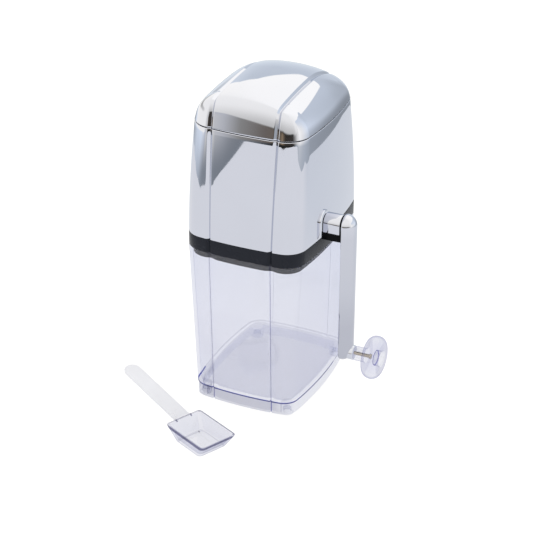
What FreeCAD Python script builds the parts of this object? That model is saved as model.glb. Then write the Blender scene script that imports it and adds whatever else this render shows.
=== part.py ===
import FreeCAD, Part
import math
import os
from FreeCAD import Vector

# Hand crank ice crusher: clear ice bucket, chromed housing with a hinged dome lid,
# a crank on the right wall and a loose scoop.
# Millimetres, +Z up, -Y is the front, +X is the crank side.
# Origin: centre of the four feet, on the surface the crusher stands on.

os.makedirs("parts", exist_ok=True)

# ---------------------------------------------------------------- driving sizes
foot_h = 1.0            # feet stand this far below the bucket's skirt
z_step = 10.9           # top of the skirt, where the tapered wall starts
z_floor_lo = 9.4        # underside of the bucket's floor
z_floor_hi = 12.0       # top of the bucket's floor
z_rim = 129.8           # bucket rim
z_ring_lo = 130.1       # dark ring, lower edge
z_ring_hi = 141.1       # dark ring, upper edge
z_split_lo = 226.7      # upper edge of the housing
z_split_hi = 227.3      # lower edge of the lid
z_split = 227.0
dome_h = 28.9           # crown of the lid above the split

A_base, B_base, rc_base = 44.93, 56.68, 12.0     # half width, half depth, corner radius
A_ring, B_ring, rc_ring = 49.93, 60.99, 16.5
A_split, B_split, rc_split = 47.52, 53.94, 18.5
bow_front, bow_side = 4.0, 5.25                  # sagitta of the bowed faces
bulge = 0.8                                      # outward swell of the housing wall
skirt_in = 0.7                                   # skirt stands this far inside the wall

groove_w, groove_d = 4.0, 1.5                    # two grooves down the front and back
g_base, g_ring, g_split = 24.3, 24.8, 25.9       # their distance from the middle
t_bucket = 2.6
t_house = 2.8
t_lid = 2.4
collar_gap = 0.35
collar_h = 6.4

ax_y, ax_z = -21.0, 155.4       # crank axis, along X
shaft_r = 4.0
bore_run = 4.05                 # running bores on the shaft
knob_z, arm_lo = 49.6, 51.2    # knob axis; centre of the arm's round lower end
arm_x0, arm_t, arm_r = 67.5, 9.0, 8.4
spindle_r = 1.35
hinge_y, hinge_z = 57.6, 227.0

rotor_r = 20.0
disc_t = 2.6
disc_x = [-26.0, -13.0, 0.0, 13.0, 26.0]
throat_x = 34.0
throat_y0, throat_y1 = -42.5, 1.5
deck_lo, deck_hi = 130.5, 133.5


# ---------------------------------------------------------------- plan outlines
def radii(A, B):
    return ((A * A + bow_front ** 2) / (2 * bow_front),
            (B * B + bow_side ** 2) / (2 * bow_side))


def plan_points(A, B, Rf, Rs, rc):
    """Arc end points and middles of one quarter, from the front centre to the right centre."""
    cf = (0.0, -B + Rf)
    cs = (A - Rs, 0.0)
    dx, dy = cs[0] - cf[0], cs[1] - cf[1]
    d = math.hypot(dx, dy)
    r1, r2 = Rf - rc, Rs - rc
    a = (r1 * r1 - r2 * r2 + d * d) / (2 * d)
    h = math.sqrt(max(r1 * r1 - a * a, 0.0))
    ex, ey = dx / d, dy / d
    px, py = cf[0] + a * ex, cf[1] + a * ey
    c1 = (px - h * ey, py + h * ex)
    c2 = (px + h * ey, py - h * ex)
    c = c1 if c1[0] - c1[1] > c2[0] - c2[1] else c2
    t1 = (cf[0] + (c[0] - cf[0]) * Rf / r1, cf[1] + (c[1] - cf[1]) * Rf / r1)
    t2 = (cs[0] + (c[0] - cs[0]) * Rs / r2, cs[1] + (c[1] - cs[1]) * Rs / r2)
    b0 = math.atan2(t1[1] - c[1], t1[0] - c[0])
    b1 = math.atan2(t2[1] - c[1], t2[0] - c[0])
    bm = 0.5 * (b0 + b1)
    m = (c[0] + rc * math.cos(bm), c[1] + rc * math.sin(bm))
    return t1, m, t2


def plan_wire(A, B, Rf, Rs, rc, z, cx=0.0, cy=0.0):
    t1, m, t2 = plan_points(A, B, Rf, Rs, rc)

    def P(x, y):
        return Vector(x + cx, y + cy, z)
    e = []
    e.append(Part.Arc(P(-t1[0], t1[1]), P(0, -B), P(t1[0], t1[1])).toShape())
    e.append(Part.Arc(P(t1[0], t1[1]), P(m[0], m[1]), P(t2[0], t2[1])).toShape())
    e.append(Part.Arc(P(t2[0], t2[1]), P(A, 0), P(t2[0], -t2[1])).toShape())
    e.append(Part.Arc(P(t2[0], -t2[1]), P(m[0], -m[1]), P(t1[0], -t1[1])).toShape())
    e.append(Part.Arc(P(t1[0], -t1[1]), P(0, B), P(-t1[0], -t1[1])).toShape())
    e.append(Part.Arc(P(-t1[0], -t1[1]), P(-m[0], -m[1]), P(-t2[0], -t2[1])).toShape())
    e.append(Part.Arc(P(-t2[0], -t2[1]), P(-A, 0), P(-t2[0], t2[1])).toShape())
    e.append(Part.Arc(P(-t2[0], t2[1]), P(-m[0], m[1]), P(-t1[0], t1[1])).toShape())
    return Part.Wire(e)


def level(z):
    """Half width, half depth, corner radius and groove place at a height."""
    if z >= z_ring_hi:
        t = min(1.0, (z - z_ring_hi) / (z_split - z_ring_hi))
        b = bulge * 4 * t * (1 - t)
        return (A_ring + (A_split - A_ring) * t + b, B_ring + (B_split - B_ring) * t + b,
                rc_ring + (rc_split - rc_ring) * t, g_ring + (g_split - g_ring) * t)
    if z >= z_ring_lo:
        return A_ring, B_ring, rc_ring, g_ring
    t = max(0.0, (z - z_step) / (z_ring_lo - z_step))
    return (A_base + (A_ring - A_base) * t, B_base + (B_ring - B_base) * t,
            rc_base + (rc_ring - rc_base) * t, g_base + (g_ring - g_base) * t)


def section(z, inset, at=None):
    """Outline of the height `at` (or z itself), drawn at z and moved in by inset."""
    A, B, rc, g = level(z if at is None else at)
    Rf, Rs = radii(A, B)
    return plan_wire(A - inset, B - inset, Rf - inset, Rs - inset, max(rc - inset, 1.5), z)


def skin(zs, inset):
    return Part.makeLoft([section(z, inset) for z in zs], True, len(zs) == 2)


def prism(z0, z1, inset, at):
    """Straight wall with the outline of one height."""
    return Part.makeLoft([section(z0, inset, at), section(z1, inset, at)], True, True)


def box(x0, x1, y0, y1, z0, z1):
    return Part.makeBox(x1 - x0, y1 - y0, z1 - z0, Vector(x0, y0, z0))


def cyl_x(r, x0, x1, y, z):
    return Part.makeCylinder(r, x1 - x0, Vector(x0, y, z), Vector(1, 0, 0))


def cyl_z(r, z0, z1, x, y):
    return Part.makeCylinder(r, z1 - z0, Vector(x, y, z0), Vector(0, 0, 1))


def rect_wire(x0, x1, y0, y1, z):
    p = [Vector(x0, y0, z), Vector(x1, y0, z), Vector(x1, y1, z), Vector(x0, y1, z), Vector(x0, y0, z)]
    return Part.makePolygon(p)


def round_rect(x0, x1, y0, y1, r, z):
    k = r * (1 - math.sqrt(0.5))
    P = [Vector(x0 + r, y0, z), Vector(x1 - r, y0, z), Vector(x1 - k, y0 + k, z), Vector(x1, y0 + r, z),
         Vector(x1, y1 - r, z), Vector(x1 - k, y1 - k, z), Vector(x1 - r, y1, z), Vector(x0 + r, y1, z),
         Vector(x0 + k, y1 - k, z), Vector(x0, y1 - r, z), Vector(x0, y0 + r, z), Vector(x0 + k, y0 + k, z)]
    e = [Part.LineSegment(P[0], P[1]).toShape(), Part.Arc(P[1], P[2], P[3]).toShape(),
         Part.LineSegment(P[3], P[4]).toShape(), Part.Arc(P[4], P[5], P[6]).toShape(),
         Part.LineSegment(P[6], P[7]).toShape(), Part.Arc(P[7], P[8], P[9]).toShape(),
         Part.LineSegment(P[9], P[10]).toShape(), Part.Arc(P[10], P[11], P[0]).toShape()]
    return Part.Wire(e)


def slabs(z0, z1, w):
    """The strips that the grooves run in, from the front to the back."""
    out = []
    for s in (-1, 1):
        w0 = rect_wire(s * level(z0)[3] - w / 2, s * level(z0)[3] + w / 2, -90, 90, z0)
        w1 = rect_wire(s * level(z1)[3] - w / 2, s * level(z1)[3] + w / 2, -90, 90, z1)
        out.append(Part.makeLoft([w0, w1], True, True))
    return out


def grooved(make, z0, z1, inset, w):
    """A skin with the two grooves pressed into it; make(inset) gives the plain skin."""
    plain = make(inset)
    deep = make(inset + groove_d)
    for s in slabs(z0 - 0.5, z1 + 0.5, w):
        plain = plain.cut(s)
    return plain.fuse(deep).removeSplitter()


def save(name, shape):
    solids = shape.Solids
    out = solids[0] if len(solids) == 1 else Part.makeCompound(solids)
    bad = [i for i, s in enumerate(solids) if not s.isValid() or s.Volume <= 0]
    b = out.BoundBox
    print("%-18s solids %d vol %9.1f  x %.1f..%.1f y %.1f..%.1f z %.1f..%.1f %s" % (
        name, len(solids), sum(s.Volume for s in solids), b.XMin, b.XMax, b.YMin, b.YMax, b.ZMin, b.ZMax,
        "BAD %s" % bad if bad or not solids else ""))
    out.exportStep("parts/%s.step" % name)


# ---------------------------------------------------------------- clear ice bucket
def make_bucket(inset):
    return skin([z_step, z_rim], inset)


z_in_top = z_rim + 1.0
outer = grooved(make_bucket, z_step, z_rim, 0.0, groove_w)


def make_skirt(inset):
    return prism(foot_h, z_step, inset + skirt_in, z_step)


skirt = grooved(make_skirt, foot_h, z_step, 0.0, groove_w)
bucket = outer.fuse(skirt)


def make_cavity(inset):
    return skin([z_floor_hi, z_in_top], inset)


cavity = grooved(make_cavity, z_floor_hi, z_in_top, t_bucket, groove_w + 2 * t_bucket)
bucket = bucket.cut(cavity)


def make_recess(inset):
    return prism(0.0, z_floor_lo, inset, z_step)


recess = grooved(make_recess, 0.0, z_floor_lo, skirt_in + t_bucket, groove_w + 2 * t_bucket)
boss_x, boss_y, boss_r = 34.6, 47.4, 5.2
for sx in (-1, 1):
    for sy in (-1, 1):
        recess = recess.cut(cyl_z(boss_r, -1.0, z_floor_lo + 1.0, sx * boss_x, sy * boss_y))
bucket = bucket.cut(recess)
# pockets in the corner bosses for the feet
pads = []
for sx in (-1, 1):
    for sy in (-1, 1):
        bucket = bucket.cut(cyl_z(3.0, foot_h - 1.0, 5.0, sx * boss_x, sy * boss_y))
        pad = cyl_z(5.0, 0.0, foot_h, sx * boss_x, sy * boss_y).fuse(
            cyl_z(3.0, foot_h, 5.0, sx * boss_x, sy * boss_y)).removeSplitter()
        pads.append(pad)
# small injection mark in the middle of the floor
bucket = bucket.fuse(cyl_z(2.6, z_floor_lo - 0.6, z_floor_lo + 0.5, 0, 0)).removeSplitter()
save("bucket", bucket)
save("foot_pads", Part.makeCompound(pads))


# ---------------------------------------------------------------- dark base ring
def make_ring(inset):
    return prism(z_ring_lo, z_ring_hi, inset, z_ring_lo)


ring = grooved(make_ring, z_ring_lo, z_ring_hi, 0.0, groove_w)


def make_collar(inset):
    return skin([z_ring_lo - collar_h, z_ring_lo + 0.2], inset)


collar_in = t_bucket + collar_gap
collar = grooved(make_collar, z_ring_lo - collar_h, z_ring_lo + 0.2, collar_in, groove_w + 2 * collar_in)
ring = ring.fuse(collar)
ring = ring.cut(prism(z_ring_lo - collar_h - 1, z_ring_hi + 1, collar_in + groove_d + 2.0, z_ring_lo - collar_h))
deck = prism(deck_lo, deck_hi, collar_in + groove_d + 1.0, z_ring_lo - collar_h)
deck = deck.cut(box(-throat_x, throat_x, throat_y0, throat_y1, deck_lo - 1, deck_hi + 1))
ring = ring.fuse(deck)
shell_screw_xy = [(-16.0, -50.8), (16.0, -50.8), (-34.5, 44.5), (34.5, 44.5)]
frame_screw_xy = [(-39.2, ax_y), (39.2, ax_y)]
for x, y in shell_screw_xy:
    ring = ring.cut(cyl_z(1.9, deck_lo - 1, deck_hi + 1, x, y))
for x, y in frame_screw_xy:
    ring = ring.cut(cyl_z(1.4, deck_lo - 1, deck_hi + 1, x, y))
save("base_ring", ring.removeSplitter())


# ---------------------------------------------------------------- chromed housing shell
z_house_lo = z_ring_hi + 0.1
house_levels = [z_house_lo, 160.0, 182.0, 205.0, z_split_lo]


def make_house(inset):
    return skin(house_levels, inset)


house_plain = make_house(0.0)
house = grooved(make_house, z_house_lo, z_split_lo, 0.0, groove_w)
house_in = skin([z_house_lo - 0.0, 160.0, 182.0, 205.0, z_split_lo], t_house)
house = house.cut(house_in)
# posts that take the screws from the deck, two behind the front wall and two in the back corners
posts = []
for x, y in shell_screw_xy:
    post = cyl_z(3.0, deck_hi, 165.0, x, y)
    sx = 1 if x > 0 else -1
    if y > 0:
        rib = box(min(x, x + sx * 12), max(x, x + sx * 12), y - 1.2, y + 1.2, z_house_lo + 1, 165.0)
    else:
        rib = box(x - 1.2, x + 1.2, y - 12.0, y, z_house_lo + 1, 165.0)
    rib = rib.common(prism(z_house_lo, 166, t_house - 0.6, 165.0))
    posts.append(post.fuse(rib))
for p in posts:
    house = house.fuse(p)
for x, y in shell_screw_xy:
    house = house.cut(cyl_z(1.5, deck_hi - 1, 149.0, x, y))
# hole for the crank bearing
house = house.cut(cyl_x(6.5, 40.0, 55.0, ax_y, ax_z))
# hinge knuckles, outside the back wall
knuckle_r = 3.2
kn = []
for x0, x1 in ((-18.0, -8.0), (8.0, 18.0)):
    k = cyl_x(knuckle_r, x0, x1, hinge_y, hinge_z)
    web = box(x0, x1, 51.8, hinge_y, hinge_z - 6.0, hinge_z - 0.3)
    web = web.fuse(box(x0, x1, 51.8, hinge_y + 0.4, hinge_z - 3.1, hinge_z - 0.3))
    web = web.cut(house_in)
    # underside of the web slopes back to the wall
    wedge = Part.Face(Part.makePolygon([
        Vector(x0 - 1, 53.5, hinge_z - 9.0), Vector(x0 - 1, hinge_y + 5, hinge_z - 9.0),
        Vector(x0 - 1, hinge_y + 5, hinge_z - 1.9), Vector(x0 - 1, hinge_y + 1.8, hinge_z - 2.65),
        Vector(x0 - 1, 53.5, hinge_z - 7.0), Vector(x0 - 1, 53.5, hinge_z - 9.0)])).extrude(Vector(x1 - x0 + 2, 0, 0))
    web = web.cut(wedge)
    kn.append(k.fuse(web))
for k in kn:
    house = house.fuse(k)
house = house.cut(cyl_x(1.5, -30, 30, hinge_y, hinge_z))
save("housing_shell", house.removeSplitter())
save("hinge_pin", cyl_x(1.5, -18.6, 18.6, hinge_y, hinge_z).fuse(cyl_x(2.1, -19.4, -18.6, hinge_y, hinge_z)).removeSplitter())


# ---------------------------------------------------------------- dome lid
def plan_dense(A, B, Rf, Rs, rc, n):
    """Points round the outline, evenly spread by angle, starting at the right."""
    w = plan_wire(A, B, Rf, Rs, rc, 0.0)
    pts = w.discretize(Number=721)[:-1]
    seq = sorted((math.atan2(p.y, p.x) % (2 * math.pi), p.x, p.y) for p in pts)
    out = []
    for i in range(n):
        a = 2 * math.pi * i / n
        for j in range(len(seq)):
            a1 = seq[j][0]
            if a1 >= a:
                break
        else:
            j = 0
            a1 = seq[0][0] + 2 * math.pi
        p1 = seq[j]
        p0 = seq[j - 1]
        a0 = p0[0] if p0[0] <= a else p0[0] - 2 * math.pi
        t = 0.0 if a1 == a0 else (a - a0) / (a1 - a0)
        out.append((p0[1] + (p1[1] - p0[1]) * t, p0[2] + (p1[2] - p0[2]) * t))
    return out


# the lid: faces that lean in from the rim, rounded over into a crowned top
dome_kx, dome_kx4, dome_kx6 = 11.38, 8.77, -1.12 # fall of the top towards the sides
dome_kf, dome_kb, dome_y0 = 5.45, 20.5, 7.31     # fall towards the front and the back, place of the crown
dome_c = 5.46
dome_lean_f, dome_lean_s = 13.0, 12.0            # lean of the faces at the split, degrees
dome_k_f, dome_k_s = 2.91, 1.60                  # how tightly the front and the sides are rounded over


def dome_z(d, nx, ny, x, y, A, B, h):
    """Height over the rim of a point d inside the outline, whose nearest wall faces (nx, ny)."""
    d = max(d, 1e-4)
    cot = ny * ny / math.tan(math.radians(dome_lean_f)) + nx * nx / math.tan(math.radians(dome_lean_s))
    side = d * cot * (1 + (d / 12.0) ** 2)
    k = ny * ny * dome_k_f + nx * nx * dome_k_s
    u, v = (x / A) ** 2, (y - dome_y0) / B
    top = h - dome_kx * u - dome_kx4 * u * u - dome_kx6 * u ** 3
    top = max(top - (dome_kf if v < 0 else dome_kb) * v * v + dome_c * u * v * v, 0.5)
    return (side ** -k + top ** -k) ** (-1.0 / k)


def dome_solid(inset, z_lo, h, levels):
    A, B, rc, g = level(z_split)
    Rf, Rs = radii(A, B)
    A, B, Rf, Rs, rc = A - inset, B - inset, Rf - inset, Rs - inset, rc - inset
    n = 72
    rim = plan_dense(A, B, Rf, Rs, rc, 360)
    edges = []
    for i in range(360):
        x0, y0 = rim[i]
        x1, y1 = rim[(i + 1) % 360]
        nx, ny = y1 - y0, -(x1 - x0)
        l = math.hypot(nx, ny)
        nx, ny = nx / l, ny / l
        edges.append((nx, ny, nx * x0 + ny * y0))

    def height(x, y):
        d, nx, ny = min((s - nx * x - ny * y, nx, ny) for nx, ny, s in edges)
        return dome_z(d, nx, ny, x, y, A, B, h)
    cx, cy = 0.0, dome_y0
    wires = []
    for lv in levels:
        pts = []
        for i in range(n):
            bx, by = rim[i * 5]
            lo, hi = 0.0, 1.0
            for _ in range(30):
                m = 0.5 * (lo + hi)
                x, y = cx + (bx - cx) * m, cy + (by - cy) * m
                if height(x, y) > lv:
                    lo = m
                else:
                    hi = m
            m = 0.5 * (lo + hi) if lv > 0 else 1.0
            pts.append(Vector(cx + (bx - cx) * m, cy + (by - cy) * m, z_lo + lv))
        c = Part.BSplineCurve()
        c.interpolate(Points=pts, PeriodicFlag=True)
        wires.append(Part.Wire([c.toShape()]))
    return Part.makeLoft(wires, True, False)


dome_levels = [0, 0.09, 0.18, 0.27, 0.36, 0.45, 0.54, 0.63, 0.71, 0.78, 0.84, 0.89, 0.93, 0.965, 0.985, 0.997]


def make_dome(inset):
    h = dome_h - inset - (z_split_hi - z_split)
    return dome_solid(inset, z_split_hi, h, [v * h for v in dome_levels])


lid = make_dome(0.0)
lid_deep = make_dome(groove_d)
A, B, rc, g = level(z_split)
for s in (-1, 1):
    lid = lid.cut(box(s * g_split - groove_w / 2, s * g_split + groove_w / 2, -90, 90, z_split_hi - 1, z_split_hi + 60))
lid = lid.fuse(lid_deep)
lid = lid.cut(make_dome(t_lid + 0.6))
# lip that locates the lid in the housing
lip = prism(z_split_hi, z_split_hi + 2.6, t_lid + 0.2, z_split).fuse(prism(z_split_lo - 3.4, z_split_hi, t_house + 0.5, z_split))
lip = lip.cut(prism(z_split_lo - 5, z_split_hi + 5, t_house + 2.4, z_split))
lid = lid.fuse(lip)
kl = cyl_x(knuckle_r, -7.6, 7.6, hinge_y, hinge_z)
kw = box(-7.6, 7.6, 51.0, hinge_y, z_split_hi, hinge_z + knuckle_r)
kw = kw.cut(prism(z_split_hi - 1, z_split_hi + 6, t_lid + 0.5, z_split))
lid = lid.fuse(kl.fuse(kw))
lid = lid.cut(cyl_x(1.55, -10, 10, hinge_y, hinge_z))
save("lid", lid.removeSplitter())


# ---------------------------------------------------------------- ice hopper and throat
def rrect(hx, y0, y1, rc, z):
    return round_rect(-hx, hx, y0, y1, rc, z)


z_fun_hi, z_fun_lo = 216.0, 183.0
tw = 2.2
hopper = Part.makeLoft([rrect(throat_x + tw, throat_y0 - tw, throat_y1 + tw, 4.0, z_fun_lo), section(z_fun_hi, 4.0)], True, True)
hopper = hopper.fuse(Part.makeLoft([rrect(throat_x + tw, throat_y0 - tw, throat_y1 + tw, 4.0, deck_hi),
                                    rrect(throat_x + tw, throat_y0 - tw, throat_y1 + tw, 4.0, z_fun_lo)], True, True))
hopper = hopper.fuse(Part.makeLoft([section(z_fun_hi, 3.1), section(z_fun_hi + 2.0, 3.1, z_fun_hi + 2.0)], True, True))
inner = Part.makeLoft([rrect(throat_x, throat_y0, throat_y1, 2.5, z_fun_lo), section(z_fun_hi, 6.2)], True, True)
inner = inner.fuse(Part.makeLoft([rrect(throat_x, throat_y0, throat_y1, 2.5, deck_hi - 1),
                                  rrect(throat_x, throat_y0, throat_y1, 2.5, z_fun_lo)], True, True))
inner = inner.fuse(Part.makeLoft([section(z_fun_hi, 6.2), section(z_fun_hi + 3, 6.2, z_fun_hi)], True, True))
hopper = hopper.cut(inner)
hopper = hopper.cut(cyl_x(6.0, -60, 60, ax_y, ax_z))
# window for the comb, and its screws
hopper = hopper.cut(box(-24.5, 24.5, throat_y1 - 1, throat_y1 + tw + 2, ax_z - 5.0, ax_z + 5.0))
comb_screw_x = [-29.0, 29.0]
for x in comb_screw_x:
    hopper = hopper.cut(Part.makeCylinder(1.2, 20, Vector(x, throat_y1 - 0.01, ax_z), Vector(0, 1, 0)))
# feet on the deck
for s, (x, y) in zip((-1, 1), frame_screw_xy):
    tab = box(min(s * (throat_x + tw - 0.5), s * 42.0), max(s * (throat_x + tw - 0.5), s * 42.0), ax_y - 5, ax_y + 5, deck_hi, deck_hi + 2.5)
    hopper = hopper.fuse(tab)
    hopper = hopper.cut(cyl_z(1.4, deck_hi - 1, deck_hi + 4, x, y))
save("ice_hopper", hopper.removeSplitter())

# ---------------------------------------------------------------- fixed comb
comb = box(-32.0, 32.0, throat_y1 + tw, throat_y1 + tw + 3.5, ax_z - 10.0, ax_z + 10.0)
for x in (-19.5, -6.5, 6.5, 19.5):
    prof = Part.Face(Part.makePolygon([
        Vector(x - 1.8, throat_y1 + tw + 0.5, ax_z - 4.2), Vector(x - 1.8, -12.6, ax_z - 2.2),
        Vector(x - 1.8, -13.4, ax_z), Vector(x - 1.8, -12.0, ax_z + 3.6),
        Vector(x - 1.8, throat_y1 + tw + 0.5, ax_z + 4.6), Vector(x - 1.8, throat_y1 + tw + 0.5, ax_z - 4.2)]))
    comb = comb.fuse(prof.extrude(Vector(3.6, 0, 0)))
for x in comb_screw_x:
    comb = comb.cut(Part.makeCylinder(1.2, 20, Vector(x, throat_y1 - 0.01, ax_z), Vector(0, 1, 0)))
save("breaker_comb", comb.removeSplitter())
scr = []
for x in comb_screw_x:
    s = Part.makeCylinder(1.2, 5.6, Vector(x, throat_y1 + 0.1, ax_z), Vector(0, 1, 0))
    h = Part.makeCylinder(2.4, 1.6, Vector(x, throat_y1 + tw + 3.5, ax_z), Vector(0, 1, 0))
    scr.append(s.fuse(h).cut(box(x - 0.4, x + 0.4, throat_y1 + tw + 4.4, throat_y1 + tw + 8, ax_z - 3, ax_z + 3)).removeSplitter())
save("comb_screws", Part.makeCompound(scr))

# ---------------------------------------------------------------- screws of the deck
scr = []
for x, y in frame_screw_xy:
    s = cyl_z(1.4, deck_lo + 0.3, deck_hi + 2.5, x, y).fuse(cyl_z(2.7, deck_hi + 2.5, deck_hi + 4.3, x, y))
    s = s.cut(box(x - 3, x + 3, y - 0.45, y + 0.45, deck_hi + 3.5, deck_hi + 6))
    scr.append(s.removeSplitter())
save("hopper_screws", Part.makeCompound(scr))
scr = []
for x, y in shell_screw_xy:
    s = cyl_z(1.5, deck_lo, 146.0, x, y).fuse(cyl_z(2.7, deck_lo - 2.2, deck_lo, x, y))
    s = s.cut(box(x - 4, x + 4, y - 0.5, y + 0.5, deck_lo - 4, deck_lo - 1.1)).cut(box(x - 0.5, x + 0.5, y - 4, y + 4, deck_lo - 4, deck_lo - 1.1))
    scr.append(s.removeSplitter())
save("shell_screws", Part.makeCompound(scr))


# ---------------------------------------------------------------- crank bearing on the right wall
def arch(r, x0, x1, z0):
    """Round top on the crank axis, straight sides down to z0."""
    return cyl_x(r, x0, x1, ax_y, ax_z).fuse(box(x0, x1, ax_y - r, ax_y + r, z0, ax_z)).removeSplitter()


pad_x1 = 51.7
pad = arch(8.3, 44.0, pad_x1, z_ring_hi + 1.0)
# the pad's lower end slopes back into the wall
cutter = Part.Face(Part.makePolygon([
    Vector(46.0, ax_y - 12, z_ring_hi - 3), Vector(60.0, ax_y - 12, z_ring_hi - 3),
    Vector(60.0, ax_y - 12, z_ring_hi + 14.5), Vector(46.0, ax_y - 12, z_ring_hi - 2.0),
    Vector(46.0, ax_y - 12, z_ring_hi - 3)])).extrude(Vector(0, 24, 0))
pad = pad.cut(cutter)
try:
    edges = [e for e in pad.Edges if abs(e.BoundBox.XMin - pad_x1) < 1e-3 and abs(e.BoundBox.XMax - pad_x1) < 1e-3 and e.BoundBox.ZMax > ax_z - 5]
    pad = pad.makeFillet(0.8, edges)
except Exception as err:
    print("pad fillet", err)
pad = pad.cut(house_plain)
pad = pad.cut(cyl_x(6.5, 40, 60, ax_y, ax_z))
save("crank_escutcheon", pad.removeSplitter())

blk_lo, cover_lo = 143.7, 149.7
block = arch(5.9, pad_x1, 66.4, blk_lo)
block = block.fuse(box(pad_x1 + 0.1, 66.4, ax_y - 7.1, ax_y + 7.1, blk_lo, cover_lo))
block = block.fuse(arch(7.1, 66.4, 67.0, blk_lo))
block = block.fuse(cyl_x(6.5, 43.8, pad_x1 + 0.3, ax_y, ax_z))
block = block.fuse(cyl_x(9.0, 41.8, 43.8, ax_y, ax_z))
block = block.cut(cyl_x(bore_run, 40, 70, ax_y, ax_z))
save("bearing_block", block.removeSplitter())

cover = arch(7.1, pad_x1 + 0.6, 66.4, cover_lo).cut(arch(5.9, pad_x1 - 1, 69.0, cover_lo - 5))
save("bearing_cover", cover)

bl = cyl_x(6.0, -throat_x - tw, -throat_x, ax_y, ax_z).fuse(cyl_x(8.5, -throat_x - tw - 2.4, -throat_x - tw, ax_y, ax_z))
save("bush_left", bl.cut(cyl_x(bore_run, -60, 0, ax_y, ax_z)).removeSplitter())
br = cyl_x(6.0, throat_x, throat_x + tw, ax_y, ax_z).fuse(cyl_x(8.5, throat_x + tw, throat_x + tw + 2.4, ax_y, ax_z))
save("bush_right", br.cut(cyl_x(bore_run, 0, 60, ax_y, ax_z)).removeSplitter())

# ---------------------------------------------------------------- shaft, rotor and crank
clip_x = -throat_x - tw - 2.4 - 0.4
shaft = cyl_x(shaft_r, clip_x - 3.4, arm_x0 + 6.8, ax_y, ax_z)
shaft = shaft.cut(cyl_x(6.0, clip_x - 0.9, clip_x, ax_y, ax_z).cut(cyl_x(3.2, clip_x - 2, clip_x + 1, ax_y, ax_z)))
save("crank_shaft", shaft)
clip = cyl_x(6.6, clip_x - 0.9, clip_x, ax_y, ax_z).cut(cyl_x(3.2, clip_x - 2, clip_x + 1, ax_y, ax_z))
clip = clip.cut(box(clip_x - 2, clip_x + 1, ax_y - 2.0, ax_y + 2.0, ax_z - 10, ax_z))
save("shaft_clip", clip)

discs = []
for k, x in enumerate(disc_x):
    pts = []
    for i in range(4):
        a = math.radians(90 * i + 18 * k)
        for r, da in ((9.6, -44), (9.6, -30), (rotor_r, -7), (rotor_r, 2), (12.4, 10), (9.8, 26)):
            t = a + math.radians(da)
            pts.append(Vector(x - disc_t / 2, ax_y + r * math.cos(t), ax_z + r * math.sin(t)))
    pts.append(pts[0])
    d = Part.Face(Part.makePolygon(pts)).extrude(Vector(disc_t, 0, 0))
    discs.append(d.cut(cyl_x(shaft_r, x - 5, x + 5, ax_y, ax_z)))
save("rotor_blades", Part.makeCompound(discs))
spacers = []
xs = [-throat_x + 0.4] + [v for x in disc_x for v in (x - disc_t / 2, x + disc_t / 2)] + [throat_x - 0.4]
for i in range(0, len(xs), 2):
    s = cyl_x(6.3, xs[i], xs[i + 1], ax_y, ax_z).cut(cyl_x(shaft_r, xs[i] - 1, xs[i + 1] + 1, ax_y, ax_z))
    spacers.append(s)
save("rotor_spacers", Part.makeCompound(spacers))


# outer face of the arm: part of a cylinder, closed by part of a ball at each end
arm_edge = 1.8
arm_crown = arm_t - arm_edge
arm_R = (arm_r ** 2 + arm_crown ** 2) / (2 * arm_crown)
arm_cx = arm_x0 + arm_t - arm_R


def bar_section(z):
    p = [Vector(arm_x0 + arm_edge, ax_y - arm_r, z), Vector(arm_x0, ax_y - arm_r, z),
         Vector(arm_x0, ax_y + arm_r, z), Vector(arm_x0 + arm_edge, ax_y + arm_r, z)]
    e = [Part.LineSegment(p[0], p[1]).toShape(), Part.LineSegment(p[1], p[2]).toShape(),
         Part.LineSegment(p[2], p[3]).toShape(),
         Part.Arc(p[3], Vector(arm_x0 + arm_t, ax_y, z), p[0]).toShape()]
    return Part.Face(Part.Wire(e))


def arm_end(zc):
    """Plug of the arm's outline with the ball's crown, to be cut in half."""
    plug = cyl_x(arm_r, arm_x0, arm_x0 + arm_t + 1, ax_y, zc)
    ball = Part.makeSphere(arm_R, Vector(arm_cx, ax_y, zc))
    low = cyl_x(arm_r, arm_x0, arm_x0 + arm_edge, ax_y, zc)
    return low.fuse(plug.common(ball)).removeSplitter()


bar = bar_section(arm_lo).extrude(Vector(0, 0, ax_z - arm_lo))
top_end = arm_end(ax_z).cut(box(40, 100, ax_y - 20, ax_y + 20, ax_z - 30, ax_z))
low_end = arm_end(arm_lo).cut(box(40, 100, ax_y - 20, ax_y + 20, arm_lo, arm_lo + 30))
arm = bar.fuse(top_end).fuse(low_end).removeSplitter()
arm = arm.cut(cyl_x(shaft_r, arm_x0 - 1, arm_x0 + 6.8, ax_y, ax_z))
collar_x0, collar_x1 = arm_x0 + 4.4, 77.7
arm = arm.cut(cyl_x(5.6, collar_x0, arm_x0 + arm_t + 2, ax_y, knob_z))
arm = arm.cut(cyl_x(spindle_r, arm_x0 - 1, collar_x0 + 1, ax_y, knob_z))
save("crank_arm", arm)
col = cyl_x(5.6, collar_x0, collar_x1, ax_y, knob_z).cut(cyl_x(spindle_r, collar_x0 - 1, collar_x1 + 1, ax_y, knob_z))
save("knob_collar", col)

# ---------------------------------------------------------------- knob and its spindle
stem_x0, disc_x0, knob_x1 = 78.0, 87.7, 99.7
disc_r, stem_r, rec_r, rec_x = 16.4, 5.4, 6.0, 94.6
bore_r, head_r, head_x0, head_x1 = spindle_r + 0.05, 2.0, 90.0, 91.5
spin = cyl_x(spindle_r, arm_x0, head_x0 + 0.1, ax_y, knob_z).fuse(cyl_x(head_r, head_x0, head_x1, ax_y, knob_z))
save("knob_spindle", spin.removeSplitter())
rr = (knob_x1 - disc_x0) / 2 * 0.80


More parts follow.
